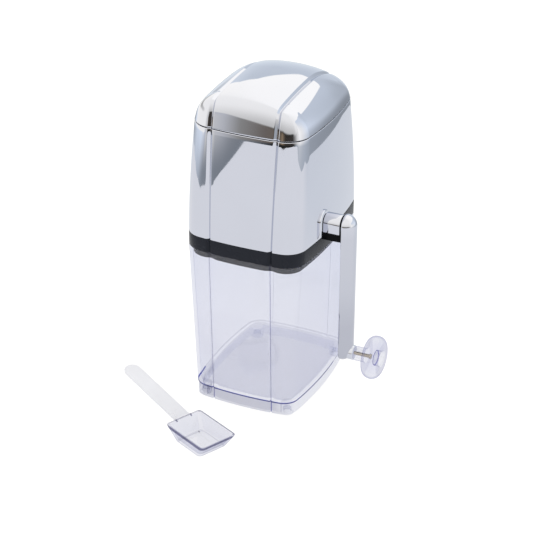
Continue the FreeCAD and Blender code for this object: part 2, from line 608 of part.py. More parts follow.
def ring_profile():
    xm0, xm1 = disc_x0, knob_x1

    def P(x, r):
        return Vector(x, ax_y, knob_z + r)
    e = [Part.LineSegment(P(stem_x0, bore_r), P(stem_x0, stem_r - 0.5)).toShape(),
         Part.LineSegment(P(stem_x0, stem_r - 0.5), P(stem_x0 + 0.5, stem_r)).toShape(),
         Part.LineSegment(P(stem_x0 + 0.5, stem_r), P(xm0 - 0.6, stem_r)).toShape(),
         Part.LineSegment(P(xm0 - 0.6, stem_r), P(xm0, stem_r + 0.9)).toShape(),
         Part.LineSegment(P(xm0, stem_r + 0.9), P(xm0, disc_r - rr)).toShape(),
         Part.Arc(P(xm0, disc_r - rr), P((xm0 + xm1) / 2, disc_r), P(xm1, disc_r - rr)).toShape(),
         Part.LineSegment(P(xm1, disc_r - rr), P(xm1, rec_r + 0.5)).toShape(),
         Part.LineSegment(P(xm1, rec_r + 0.5), P(xm1 - 0.5, rec_r)).toShape(),
         Part.LineSegment(P(xm1 - 0.5, rec_r), P(rec_x, rec_r)).toShape(),
         Part.LineSegment(P(rec_x, rec_r), P(rec_x, 0.0)).toShape(),
         Part.LineSegment(P(rec_x, 0.0), P(head_x1 + 0.2, 0.0)).toShape(),
         Part.LineSegment(P(head_x1 + 0.2, 0.0), P(head_x1 + 0.2, head_r + 0.15)).toShape(),
         Part.LineSegment(P(head_x1 + 0.2, head_r + 0.15), P(head_x0 - 0.15, head_r + 0.15)).toShape(),
         Part.LineSegment(P(head_x0 - 0.15, head_r + 0.15), P(head_x0 - 0.15, bore_r)).toShape(),
         Part.LineSegment(P(head_x0 - 0.15, bore_r), P(stem_x0, bore_r)).toShape()]
    return Part.Face(Part.Wire(e))


knob = ring_profile().revolve(Vector(0, ax_y, knob_z), Vector(1, 0, 0), 360)
save("knob", knob)

# ---------------------------------------------------------------- loose scoop
sc_L, sc_W, sc_H, sc_d1, sc_d2 = 45.0, 32.4, 12.8, 8.2, 3.4
sc_t, sc_handle, sc_hw, sc_rise = 1.6, 69.0, 13.3, 10.0
sc_x, sc_y, sc_yaw = -18.7, -107.3, -26.0
cxl = sc_L / 2 - sc_d1        # centre of the bowl, measured from the heel edge of its base


def srect(L, W, rc, z):
    return round_rect(cxl - L / 2, cxl + L / 2, -W / 2, W / 2, rc, z)


bowl = Part.makeLoft([srect(sc_L - 2 * sc_d1, sc_W - 2 * sc_d2, 3.0, 0.0), srect(sc_L, sc_W, 2.4, sc_H)], True, True)
try:
    bowl = bowl.makeFillet(1.4, [e for e in bowl.Edges if e.BoundBox.ZMax < 1e-3])
except Exception as err:
    print("bowl fillet", err)
k = sc_t / sc_H
hollow = Part.makeLoft([
    srect(sc_L - 2 * sc_d1 + 2 * sc_d1 * k - 2 * sc_t, sc_W - 2 * sc_d2 + 2 * sc_d2 * k - 2 * sc_t, 2.2, sc_t),
    srect(sc_L - 2 * sc_t + 2 * sc_d1 * 0.04, sc_W - 2 * sc_t, 1.6, sc_H + 0.5)], True, True)
bowl = bowl.cut(hollow)
s10 = math.tan(math.radians(sc_rise))
x_h0 = -sc_d1
hp = Part.Face(Part.Wire(Part.__sortEdges__([
    Part.LineSegment(Vector(x_h0 + 1.2, -sc_hw / 2, 0), Vector(x_h0 - sc_handle + sc_hw / 2, -sc_hw / 2, 0)).toShape(),
    Part.Arc(Vector(x_h0 - sc_handle + sc_hw / 2, -sc_hw / 2, 0), Vector(x_h0 - sc_handle, 0, 0),
             Vector(x_h0 - sc_handle + sc_hw / 2, sc_hw / 2, 0)).toShape(),
    Part.LineSegment(Vector(x_h0 - sc_handle + sc_hw / 2, sc_hw / 2, 0), Vector(x_h0 + 1.2, sc_hw / 2, 0)).toShape(),
    Part.LineSegment(Vector(x_h0 + 1.2, sc_hw / 2, 0), Vector(x_h0 + 1.2, -sc_hw / 2, 0)).toShape()])))
handle = hp.extrude(Vector(0, 0, 60))
zt = sc_H


def wedge_prism(pts):
    v = [Vector(x, -20, z) for x, z in pts]
    return Part.Face(Part.makePolygon(v + [v[0]])).extrude(Vector(0, 40, 0))


handle = handle.common(wedge_prism([(x_h0 + 5, zt - 2.2 - 5 * s10), (x_h0 + 5, zt - 5 * s10),
                                    (x_h0 - 90, zt + 90 * s10), (x_h0 - 90, zt - 2.2 + 90 * s10)]))
handle = handle.cut(hollow)
scoop = bowl.fuse(handle)
scoop.rotate(Vector(0, 0, 0), Vector(0, 0, 1), sc_yaw)
scoop.translate(Vector(sc_x, sc_y, 0))
save("scoop", scoop)
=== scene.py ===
import math

import bpy
import bmesh
import numpy as np
from mathutils import Vector, Matrix


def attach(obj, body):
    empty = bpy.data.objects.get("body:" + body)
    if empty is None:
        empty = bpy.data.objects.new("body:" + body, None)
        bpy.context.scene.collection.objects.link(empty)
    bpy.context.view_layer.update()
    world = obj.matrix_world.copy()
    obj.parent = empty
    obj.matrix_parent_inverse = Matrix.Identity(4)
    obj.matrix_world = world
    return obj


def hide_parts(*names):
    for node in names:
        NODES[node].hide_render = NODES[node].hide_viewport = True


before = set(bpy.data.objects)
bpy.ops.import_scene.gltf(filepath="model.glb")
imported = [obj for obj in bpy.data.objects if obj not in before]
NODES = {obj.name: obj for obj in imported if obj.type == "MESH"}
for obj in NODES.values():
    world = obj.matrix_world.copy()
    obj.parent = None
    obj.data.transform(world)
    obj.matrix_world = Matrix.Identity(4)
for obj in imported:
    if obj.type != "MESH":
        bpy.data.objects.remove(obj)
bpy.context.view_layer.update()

# ================================================================ sizes, in millimetres
MM = 0.001
Z_STEP, Z_RIM = 10.9, 129.8
Z_RING_LO, Z_RING_HI = 130.1, 141.1
Z_HOUSE_LO = 141.2
Z_SPLIT_LO, Z_SPLIT_HI, Z_SPLIT = 226.7, 227.3, 227.0
BOW_FRONT, BOW_SIDE = 4.0, 5.25
GROOVE_W, GROOVE_D = 4.0, 1.5
AX_Y, AX_Z = -21.0, 155.4
KNOB_Z, ARM_LO = 49.6, 51.2
HINGE_Y, HINGE_Z = 57.6, 227.0


def level(z):
    """Half width, half depth, corner radius and groove place at a height."""
    if z >= Z_RING_HI:
        t = min(1.0, (z - Z_RING_HI) / (Z_SPLIT - Z_RING_HI))
        b = 0.8 * 4 * t * (1 - t)
        return 49.93 - 2.41 * t + b, 60.99 - 7.05 * t + b, 16.5 + 2.0 * t, 24.8 + 1.1 * t
    if z >= Z_RING_LO:
        return 49.93, 60.99, 16.5, 24.8
    t = max(0.0, (z - Z_STEP) / (Z_RING_LO - Z_STEP))
    return 44.93 + 5.0 * t, 56.68 + 4.31 * t, 12.0 + 4.5 * t, 24.3 + 0.5 * t


class Plan:
    """One quarter of a body outline: front arc, corner arc, side arc."""

    def __init__(self, A, B, rc):
        self.A, self.B, self.rc = A, B, rc
        self.Rf = (A * A + BOW_FRONT ** 2) / (2 * BOW_FRONT)
        self.Rs = (B * B + BOW_SIDE ** 2) / (2 * BOW_SIDE)
        self.cf = (0.0, -B + self.Rf)
        self.cs = (A - self.Rs, 0.0)
        dx, dy = self.cs[0] - self.cf[0], self.cs[1] - self.cf[1]
        d = math.hypot(dx, dy)
        r1, r2 = self.Rf - rc, self.Rs - rc
        a = (r1 * r1 - r2 * r2 + d * d) / (2 * d)
        h = math.sqrt(max(r1 * r1 - a * a, 0.0))
        ex, ey = dx / d, dy / d
        px, py = self.cf[0] + a * ex, self.cf[1] + a * ey
        c1, c2 = (px - h * ey, py + h * ex), (px + h * ey, py - h * ex)
        c = c1 if c1[0] - c1[1] > c2[0] - c2[1] else c2
        self.c = c
        t1 = (self.cf[0] + (c[0] - self.cf[0]) * self.Rf / r1, self.cf[1] + (c[1] - self.cf[1]) * self.Rf / r1)
        t2 = (self.cs[0] + (c[0] - self.cs[0]) * self.Rs / r2, self.cs[1] + (c[1] - self.cs[1]) * self.Rs / r2)
        self.t1, self.t2 = t1, t2
        self.th1 = math.atan2(t1[0] - self.cf[0], -(t1[1] - self.cf[1]))
        self.b0 = math.atan2(t1[1] - c[1], t1[0] - c[0])
        self.b1 = math.atan2(t2[1] - c[1], t2[0] - c[0])
        self.ph1 = math.atan2(t2[1] - self.cs[1], t2[0] - self.cs[0])

    def at(self, tau):
        """Point and outward normal; tau 0 is the front centre, 3 the right centre."""
        if tau <= 1:
            th = self.th1 * tau
            n = (math.sin(th), -math.cos(th))
            return self.cf[0] + self.Rf * n[0], self.cf[1] + self.Rf * n[1], n[0], n[1]
        if tau <= 2:
            b = self.b0 + (self.b1 - self.b0) * (tau - 1)
            n = (math.cos(b), math.sin(b))
            return self.c[0] + self.rc * n[0], self.c[1] + self.rc * n[1], n[0], n[1]
        p = self.ph1 * (3 - tau)
        n = (math.cos(p), math.sin(p))
        return self.cs[0] + self.Rs * n[0], self.cs[1] + self.Rs * n[1], n[0], n[1]

    def tau_x(self, x):
        if x <= self.t1[0]:
            return math.asin(min(1.0, x / self.Rf)) / self.th1
        b = -math.acos(max(-1.0, min(1.0, (x - self.c[0]) / self.rc)))
        return 1 + (b - self.b0) / (self.b1 - self.b0)


N_MID, N_SIDE = 12, 56          # cells of the half front, and of the quarter beyond the groove
SOFT = 0.42                     # half width of the groove's rounded wall


# half of the groove's section at its nominal width: rounded bottom, sloping flank, rounded shoulder
V_BOTTOM, V_SHOULDER, V_SLOPE = 0.35, 0.90, math.radians(38.0)
V_FLANK = (GROOVE_D - (V_BOTTOM + V_SHOULDER) * (1 - math.cos(V_SLOPE))) / math.sin(V_SLOPE)
V_X1 = V_BOTTOM * math.sin(V_SLOPE)
V_X2 = V_X1 + V_FLANK * math.cos(V_SLOPE)
V_HALF = V_X2 + V_SHOULDER * math.sin(V_SLOPE)


def groove_offsets(w, soft):
    k = w / GROOVE_W
    a = [V_X1 * 0.5, V_X1] + [V_X1 + (V_X2 - V_X1) * t for t in (0.25, 0.5, 0.75, 1.0)] + [V_X2 + (V_HALF - V_X2) * t for t in (0.25, 0.5, 0.75, 1.0)]
    a = [v * k for v in a]
    return [-v for v in a[::-1]] + [0.0] + a


def groove_depth(x, g, w, soft):
    """0 outside, 1 at the bottom of the groove."""
    u = abs(abs(x) - g) * GROOVE_W / w
    if u >= V_HALF:
        return 0.0
    if u > V_X2:
        d = V_SHOULDER - math.sqrt(max(V_SHOULDER ** 2 - (V_HALF - u) ** 2, 0.0))
    elif u > V_X1:
        d = V_SHOULDER * (1 - math.cos(V_SLOPE)) + (V_X2 - u) * math.tan(V_SLOPE)
    else:
        d = GROOVE_D - (V_BOTTOM - math.sqrt(max(V_BOTTOM ** 2 - u * u, 0.0)))
    return d / GROOVE_D


def half_xs(g, w, soft):
    h = V_HALF * w / GROOVE_W
    g0 = g - h
    xs = [g0 * i / N_MID for i in range(N_MID)]
    xs += [g + o for o in groove_offsets(w, soft)]
    xs.append(g + h + 0.7)
    return xs


def loop_taus(plan, g, w, soft):
    xs = half_xs(g, w, soft)
    taus = [plan.tau_x(x) for x in xs]
    t0 = taus[-1]
    # corner cells then side cells
    n1 = N_SIDE * 5 // 8
    taus += [t0 + (2.0 - t0) * (i + 1) / n1 for i in range(n1)]
    n2 = N_SIDE - n1
    taus += [2.0 + (i + 1) / n2 for i in range(n2)]
    return xs, taus


def outline(A, B, rc, g, inset, w, gf, soft=SOFT):
    """Closed ring of points round a body: list of (x, y), counter-clockwise from the front centre."""
    P = Plan(A, B, rc)
    xs, taus = loop_taus(P, g, w, soft)
    q = []
    for k, tau in enumerate(taus):
        x, y, nx, ny = P.at(tau)
        d = inset
        if k < len(xs):
            d += gf * GROOVE_D * groove_depth(xs[k], g, w, soft)
        if tau > 1 and tau < 2 and inset > rc - 1.5:
            k2 = rc - 1.5
            # the offset here is never less than the inset
            d = max(d, inset)
        q.append((x - nx * d, y - ny * d))
    m = len(q)
    out = list(q)                                            # front centre to right centre
    out += [(x, -y) for x, y in q[::-1][1:]]                 # to the back centre
    out += [(-x, -y) for x, y in q[1:]]                      # to the left centre
    out += [(-x, y) for x, y in q[::-1][1:-1]]               # back to the front centre
    return out


def ring3(z, inset, w=None, gf=1.0, at=None, soft=SOFT):
    A, B, rc, g = level(z if at is None else at)
    if w is None:
        w = GROOVE_W + 2 * max(0.0, min(inset, 2.6))
    return [(x, y, z) for x, y in outline(A, B, rc, g, inset, w, gf, soft)]


# ================================================================ mesh helpers
def fillet(path, seg=4, closed=False):
    """path of (a, b, r): rounds each corner with an arc of radius r."""
    n = len(path)
    out = []
    for i, (a, b, r) in enumerate(path):
        if r <= 0 or (not closed and i in (0, n - 1)):
            out.append((a, b))
            continue
        p0 = Vector(path[i - 1][:2])
        p = Vector((a, b))
        p1 = Vector(path[(i + 1) % n][:2])
        u, v = (p0 - p), (p1 - p)
        lu, lv = u.length, v.length
        u.normalize()
        v.normalize()
        ang = math.acos(max(-1.0, min(1.0, u.dot(v))))
        if ang < 1e-3 or ang > math.pi - 1e-3:
            out.append((a, b))
            continue
        t = min(r / math.tan(ang / 2), 0.48 * lu, 0.48 * lv)
        rr = t * math.tan(ang / 2)
        bis = (u + v).normalized()
        c = p + bis * (rr / math.sin(ang / 2))
        s, e = p + u * t, p + v * t
        a0 = math.atan2(s.y - c.y, s.x - c.x)
        a1 = math.atan2(e.y - c.y, e.x - c.x)
        while a1 - a0 > math.pi:
            a1 -= 2 * math.pi
        while a1 - a0 < -math.pi:
            a1 += 2 * math.pi
        for k in range(seg + 1):
            q = a0 + (a1 - a0) * k / seg
            out.append((c.x + rr * math.cos(q), c.y + rr * math.sin(q)))
    return out


class Mesh:
    """Collects vertices (mm) and faces, then makes one object in metres."""

    def __init__(self):
        self.v, self.f, self.mi = [], [], []
        self.nrm = {}
        self.mat = 0

    def add(self, pts):
        i = len(self.v)
        self.v.extend([tuple(p) for p in pts])
        return list(range(i, i + len(pts)))

    def face(self, idx):
        self.f.append(tuple(idx))
        self.mi.append(self.mat)

    def loft(self, rings, closed_v=False, flip=False, cap0=False, cap1=False):
        ids = [self.add(r) for r in rings]
        m = len(rings[0])
        pairs = list(zip(ids[:-1], ids[1:]))
        if closed_v:
            pairs.append((ids[-1], ids[0]))
        for a, b in pairs:
            for i in range(m):
                j = (i + 1) % m
                q = (a[i], a[j], b[j], b[i])
                self.face(q[::-1] if flip else q)
        if cap0:
            self.face(ids[0] if flip else ids[0][::-1])
        if cap1:
            self.face(ids[-1][::-1] if flip else ids[-1])
        return ids

    def build(self, name, body, mats, replaces=(), angle=32.0, merge=0.0, tri_fill=(), bevel=None):
        me = bpy.data.meshes.new(name)
        me.from_pydata([(x * MM, y * MM, z * MM) for x, y, z in self.v], [], self.f)
        me.polygons.foreach_set("material_index", self.mi)
        ob = bpy.data.objects.new(name, me)
        bpy.context.scene.collection.objects.link(ob)
        for m in (mats if isinstance(mats, (list, tuple)) else [mats]):
            me.materials.append(m)
        bm = bmesh.new()
        bm.from_mesh(me)
        if merge:
            bmesh.ops.remove_doubles(bm, verts=bm.verts, dist=merge * MM)
        bmesh.ops.dissolve_degenerate(bm, edges=bm.edges, dist=1e-7)
        for f in bm.faces:
            f.smooth = True
        bm.to_mesh(me)
        bm.free()
        if angle is not None:
            me.set_sharp_from_angle(angle=math.radians(angle))
        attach(ob, body)
        if replaces:
            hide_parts(*replaces)
        return ob


def circle(r, n=48, a0=0.0):
    return [(r * math.cos(a0 + 2 * math.pi * i / n), r * math.sin(a0 + 2 * math.pi * i / n)) for i in range(n)]


def lathe_x(M, prof, y, z, n=48, closed=False, flip=False):
    """prof: (x, r) points; turned about the X-direction line through (y, z). r = 0 ends are closed to a point."""
    rings = []
    for x, r in prof:
        rings.append([(x, y + max(r, 1e-4) * math.cos(2 * math.pi * i / n), z + max(r, 1e-4) * math.sin(2 * math.pi * i / n)) for i in range(n)])
    M.loft(rings, closed_v=closed, flip=flip)


def lathe_z(M, prof, x, y, n=48, closed=False, flip=False):
    rings = []
    for z, r in prof:
        rings.append([(x + max(r, 1e-4) * math.cos(2 * math.pi * i / n), y + max(r, 1e-4) * math.sin(2 * math.pi * i / n), z) for i in range(n)])
    M.loft(rings, closed_v=closed, flip=flip)


def offset_poly(pts, d):
    """Closed 2-D polygon, counter-clockwise, moved inwards by d."""
    n = len(pts)
    out = []
    for i in range(n):
        p0, p, p1 = Vector(pts[i - 1]), Vector(pts[i]), Vector(pts[(i + 1) % n])
        a = (p - p0)
        b = (p1 - p)
        a.normalize()
        b.normalize()
        n0, n1 = Vector((-a.y, a.x)), Vector((-b.y, b.x))
        m = n0 + n1
        if m.length < 1e-9:
            m = n0
        m.normalize()
        k = max(0.4, m.dot(n0))
        q = p + m * (d / k)
        out.append((q.x, q.y))
    return out


def plate(M, poly, a0, a1, place, r=0.3, seg=3, r0=None):
    """Solid from a closed outline between a0 and a1, with rounded edges. place(u, v, a) -> point."""
    r0 = r if r0 is None else r0
    prof = []
    for k in range(seg + 1):
        q = math.pi / 2 * k / seg
        prof.append((a0 + r0 * (1 - math.sin(q)), r0 * (1 - math.cos(q)) if r0 > 0 else 0.0))
    prof = [(a0 + r0 * (1 - math.cos(math.pi / 2 * k / seg)), r0 * (1 - math.sin(math.pi / 2 * k / seg))) for k in range(seg + 1)]
    prof += [(a1 - r * (1 - math.cos(math.pi / 2 * k / seg)), r * (1 - math.sin(math.pi / 2 * k / seg))) for k in range(seg, -1, -1)]
    rings = []
    for a, d in prof:
        pp = offset_poly(poly, d) if d > 1e-6 else poly
        rings.append([place(u, v, a) for u, v in pp])
    M.loft(rings, cap0=True, cap1=True)


# ================================================================ materials
def new_mat(name):
    m = bpy.data.materials.new(name)
    m.use_nodes = True
    nt = m.node_tree
    nt.nodes.clear()
    out = nt.nodes.new("ShaderNodeOutputMaterial")
    b = nt.nodes.new("ShaderNodeBsdfPrincipled")
    nt.links.new(b.outputs[0], out.inputs[0])
    return m, nt, b, out


def coords(nt, scale=(1, 1, 1)):
    tc = nt.nodes.new("ShaderNodeTexCoord")
    mp = nt.nodes.new("ShaderNodeMapping")
    mp.inputs["Scale"].default_value = scale
    nt.links.new(tc.outputs["Object"], mp.inputs["Vector"])
    return mp.outputs[0]


def noise(nt, vec, scale, detail=3.0, rough=0.5):
    n = nt.nodes.new("ShaderNodeTexNoise")
    n.inputs["Scale"].default_value = scale
    n.inputs["Detail"].default_value = detail
    n.inputs["Roughness"].default_value = rough
    nt.links.new(vec, n.inputs["Vector"])
    return n.outputs["Fac"]


def ramp(nt, fac, stops):
    r = nt.nodes.new("ShaderNodeValToRGB")
    el = r.color_ramp.elements
    el[0].position, el[0].color = stops[0][0], stops[0][1]
    el[1].position, el[1].color = stops[-1][0], stops[-1][1]
    for p, c in stops[1:-1]:
        e = el.new(p)
        e.color = c
    nt.links.new(fac, r.inputs["Fac"])
    return r.outputs["Color"]


def map_range(nt, fac, lo, hi, f0=0.3, f1=0.7):
    r = nt.nodes.new("ShaderNodeMapRange")
    r.inputs["From Min"].default_value = f0
    r.inputs["From Max"].default_value = f1
    r.inputs["To Min"].default_value = lo
    r.inputs["To Max"].default_value = hi
    nt.links.new(fac, r.inputs["Value"])
    return r.outputs["Result"]


def bump(nt, h, strength, distance):
    b = nt.nodes.new("ShaderNodeBump")
    b.inputs["Strength"].default_value = strength
    b.inputs["Distance"].default_value = distance
    nt.links.new(h, b.inputs["Height"])
    return b.outputs["Normal"]


def c4(r, g, b):
    return (r, g, b, 1.0)


def chrome_mat(name, col=(0.61, 0.63, 0.71), r0=0.015, r1=0.045, bstr=0.0):
    m, nt, b, out = new_mat(name)
    v = coords(nt)
    n1 = noise(nt, v, 18.0, 2.0)
    cc = ramp(nt, n1, [(0.25, c4(*[k * 0.985 for k in col])), (0.75, c4(*[min(1, k * 1.012) for k in col]))])
    nt.links.new(cc, b.inputs["Base Color"])
    b.inputs["Metallic"].default_value = 1.0
    n2 = noise(nt, v, 60.0, 4.0)
    nt.links.new(map_range(nt, n2, r0, r1), b.inputs["Roughness"])
    if bstr:
        n3 = noise(nt, v, 26.0, 1.0)
        nt.links.new(bump(nt, n3, bstr, 0.001), b.inputs["Normal"])
    return m


def plastic_mat(name, c0, c1, rough, scale=900.0, bstr=0.05, coat=0.0, ior=1.5, spec=0.5):
    m, nt, b, out = new_mat(name)
    v = coords(nt)
    n1 = noise(nt, v, 40.0, 3.0)
    nt.links.new(ramp(nt, n1, [(0.3, c4(*c0)), (0.7, c4(*c1))]), b.inputs["Base Color"])
    n2 = noise(nt, v, 120.0, 3.0)
    nt.links.new(map_range(nt, n2, rough * 0.85, rough * 1.15), b.inputs["Roughness"])
    n3 = noise(nt, v, scale, 2.0)
    nt.links.new(bump(nt, n3, bstr, 0.0002), b.inputs["Normal"])
    b.inputs["IOR"].default_value = ior
    b.inputs["Specular IOR Level"].default_value = spec
    if coat:
        b.inputs["Coat Weight"].default_value = coat
        b.inputs["Coat Roughness"].default_value = 0.08
    return m


def steel_mat(name, c0, c1, rough, stretch=(1, 1, 1), scale=400.0):
    m, nt, b, out = new_mat(name)
    v = coords(nt, stretch)
    n1 = noise(nt, v, scale, 4.0)
    nt.links.new(ramp(nt, n1, [(0.3, c4(*c0)), (0.7, c4(*c1))]), b.inputs["Base Color"])
    nt.links.new(map_range(nt, n1, rough * 0.7, rough * 1.3), b.inputs["Roughness"])
    nt.links.new(bump(nt, n1, 0.15, 0.0001), b.inputs["Normal"])
    b.inputs["Metallic"].default_value = 1.0
    return m


def clear_mat(name, tint=(0.85, 0.86, 0.915), edge=(0.30, 0.33, 0.58), rough=0.0, ior=1.04, absorb=(0.50, 0.53, 0.80), density=14.0, refl=0.055, graze=0.5, e0=0.70, e1=0.97, line=None):
    """Clear moulding: pale tint, a mirror film that grows towards grazing angles, blue-grey rims, and painted dark
    lines on marked faces where the light is bent aside at corners.
    """
    m, nt, b, out = new_mat(name)
    v = coords(nt)
    n1 = noise(nt, v, 22.0, 2.0)
    base = ramp(nt, n1, [(0.3, c4(*[k * 0.99 for k in tint])), (0.7, c4(*tint))])
    lw = nt.nodes.new("ShaderNodeLayerWeight")
    lw.inputs["Blend"].default_value = 0.5
    rim = ramp(nt, lw.outputs["Facing"], [(e0, c4(1.0, 1.0, 1.0)), ((e0 + e1) / 2, c4(*[0.5 + 0.5 * k for k in edge])), (e1, c4(*edge))])
    mul = nt.nodes.new("ShaderNodeMix")
    mul.data_type = "RGBA"
    mul.blend_type = "MULTIPLY"
    mul.inputs[0].default_value = 1.0
    nt.links.new(base, mul.inputs[6])
    nt.links.new(rim, mul.inputs[7])
    col = mul.outputs[2]
    if line:
        # moulded corners, where the light is bent aside, get painted dark lines, face by face on the mesh
        at = nt.nodes.new("ShaderNodeAttribute")
        at.attribute_type = "GEOMETRY"
        at.attribute_name = "painted_edge_line"
        mk = nt.nodes.new("ShaderNodeMix")
        mk.data_type = "RGBA"
        nt.links.new(at.outputs["Fac"], mk.inputs[0])
        nt.links.new(col, mk.inputs[6])
        mk.inputs[7].default_value = c4(*line)
        col = mk.outputs[2]
    nt.links.new(col, b.inputs["Base Color"])
    b.inputs["Transmission Weight"].default_value = 1.0
    b.inputs["IOR"].default_value = ior
    n2 = noise(nt, v, 70.0, 3.0)
    nt.links.new(map_range(nt, n2, rough * 0.5, rough * 1.5 + 0.004), b.inputs["Roughness"])
    film = nt.nodes.new("ShaderNodeBsdfGlossy")
    film.inputs["Color"].default_value = c4(0.96, 0.97, 1.0)
    nt.links.new(map_range(nt, n2, 0.01 + rough * 0.5, 0.04 + rough), film.inputs["Roughness"])
    p5 = nt.nodes.new("ShaderNodeMath")
    p5.operation = "POWER"
    nt.links.new(lw.outputs["Facing"], p5.inputs[0])
    p5.inputs[1].default_value = 5.0
    k = nt.nodes.new("ShaderNodeMath")
    k.operation = "MULTIPLY_ADD"
    nt.links.new(p5.outputs[0], k.inputs[0])
    k.inputs[1].default_value = graze
    k.inputs[2].default_value = refl
    mx = nt.nodes.new("ShaderNodeMixShader")
    nt.links.new(k.outputs[0], mx.inputs[0])
    nt.links.new(b.outputs[0], mx.inputs[1])
    nt.links.new(film.outputs[0], mx.inputs[2])
    nt.links.new(mx.outputs[0], out.inputs["Surface"])
    if density:
        va = nt.nodes.new("ShaderNodeVolumeAbsorption")
        va.inputs["Color"].default_value = c4(*absorb)
        va.inputs["Density"].default_value = density
        nt.links.new(va.outputs[0], out.inputs["Volume"])
    return m


CHROME = chrome_mat("chrome_plating")


def arm_mat():
    """The arm's plating, with painted shade: a little darker towards the low end."""
    m = chrome_mat("chrome_arm")
    nt = m.node_tree
    b = next(n for n in nt.nodes if n.type == "BSDF_PRINCIPLED")
    tcn = nt.nodes.new("ShaderNodeTexCoord")
    sp = nt.nodes.new("ShaderNodeSeparateXYZ")
    nt.links.new(tcn.outputs["Object"], sp.inputs[0])
    mr = nt.nodes.new("ShaderNodeMapRange")
    nt.links.new(sp.outputs[2], mr.inputs["Value"])
    mr.inputs["From Min"].default_value = 0.05
    mr.inputs["From Max"].default_value = 0.16
    # painted shade: the base colour darkens towards the arm's low end
    painted_low_shade = ramp(nt, mr.outputs["Result"], [(0.0, c4(0.78, 0.78, 0.80)), (0.22, c4(0.79, 0.79, 0.81)), (0.5, c4(0.90, 0.90, 0.91)), (0.88, c4(0.93, 0.93, 0.935)), (0.97, c4(1.0, 1.0, 1.0))])
    mul = nt.nodes.new("ShaderNodeMix")
    mul.data_type = "RGBA"
    mul.blend_type = "MULTIPLY"
    mul.inputs[0].default_value = 1.0
    nt.links.new(b.inputs["Base Color"].links[0].from_socket, mul.inputs[6])
    nt.links.new(painted_low_shade, mul.inputs[7])
    nt.links.new(mul.outputs[2], b.inputs["Base Color"])
    return m


ARM_CHROME = arm_mat()
DARK = plastic_mat("dark_plastic", (0.010, 0.012, 0.019), (0.013, 0.0155, 0.024), 0.26, spec=0.13)
BLACK = plastic_mat("black_plastic", (0.002, 0.0022, 0.003), (0.003, 0.0034, 0.0045), 0.24, spec=0.06)
# line= gives the colour of the painted dark lines at the moulded corners
CLEAR = clear_mat("clear_plastic", tint=(0.903, 0.908, 0.948), edge=(0.40, 0.43, 0.62), ior=1.003, refl=0.05, graze=0.05, e0=0.84, e1=0.985, line=(0.003, 0.005, 0.17))
CLEAR_KNOB = clear_mat("clear_knob", tint=(0.89, 0.895, 0.93), edge=(0.34, 0.35, 0.58), ior=1.003, absorb=(0.50, 0.52, 0.80), graze=0.03, e0=0.52, line=(0.08, 0.08, 0.36))
SCOOP_CLEAR = clear_mat("scoop_plastic", tint=(0.81, 0.815, 0.875), edge=(0.30, 0.31, 0.44), ior=1.003, graze=0.05, absorb=(0.50, 0.52, 0.85), density=20.0, line=(0.045, 0.045, 0.11))
SCOOP_FROST = clear_mat("scoop_frosted", tint=(0.80, 0.805, 0.84), edge=(0.50, 0.51, 0.60), rough=0.4, ior=1.02, graze=0.05, density=6.0, e0=0.55)
PAD = clear_mat("clear_pad", tint=(0.93, 0.935, 0.96), edge=(0.88, 0.89, 0.94), rough=0.2, ior=1.003, graze=0.05, density=12.0)
INNER = plastic_mat("inner_plastic", (0.42, 0.43, 0.46), (0.46, 0.47, 0.50), 0.42)
BUSH = plastic_mat("bush_plastic", (0.62, 0.61, 0.58), (0.66, 0.65, 0.62), 0.40)
STEEL = steel_mat("ground_steel", (0.50, 0.51, 0.53), (0.60, 0.61, 0.63), 0.24, (1, 8, 1))
SPINDLE = steel_mat("spindle_metal", (0.36, 0.31, 0.25), (0.46, 0.41, 0.34), 0.24, (30, 1, 1))


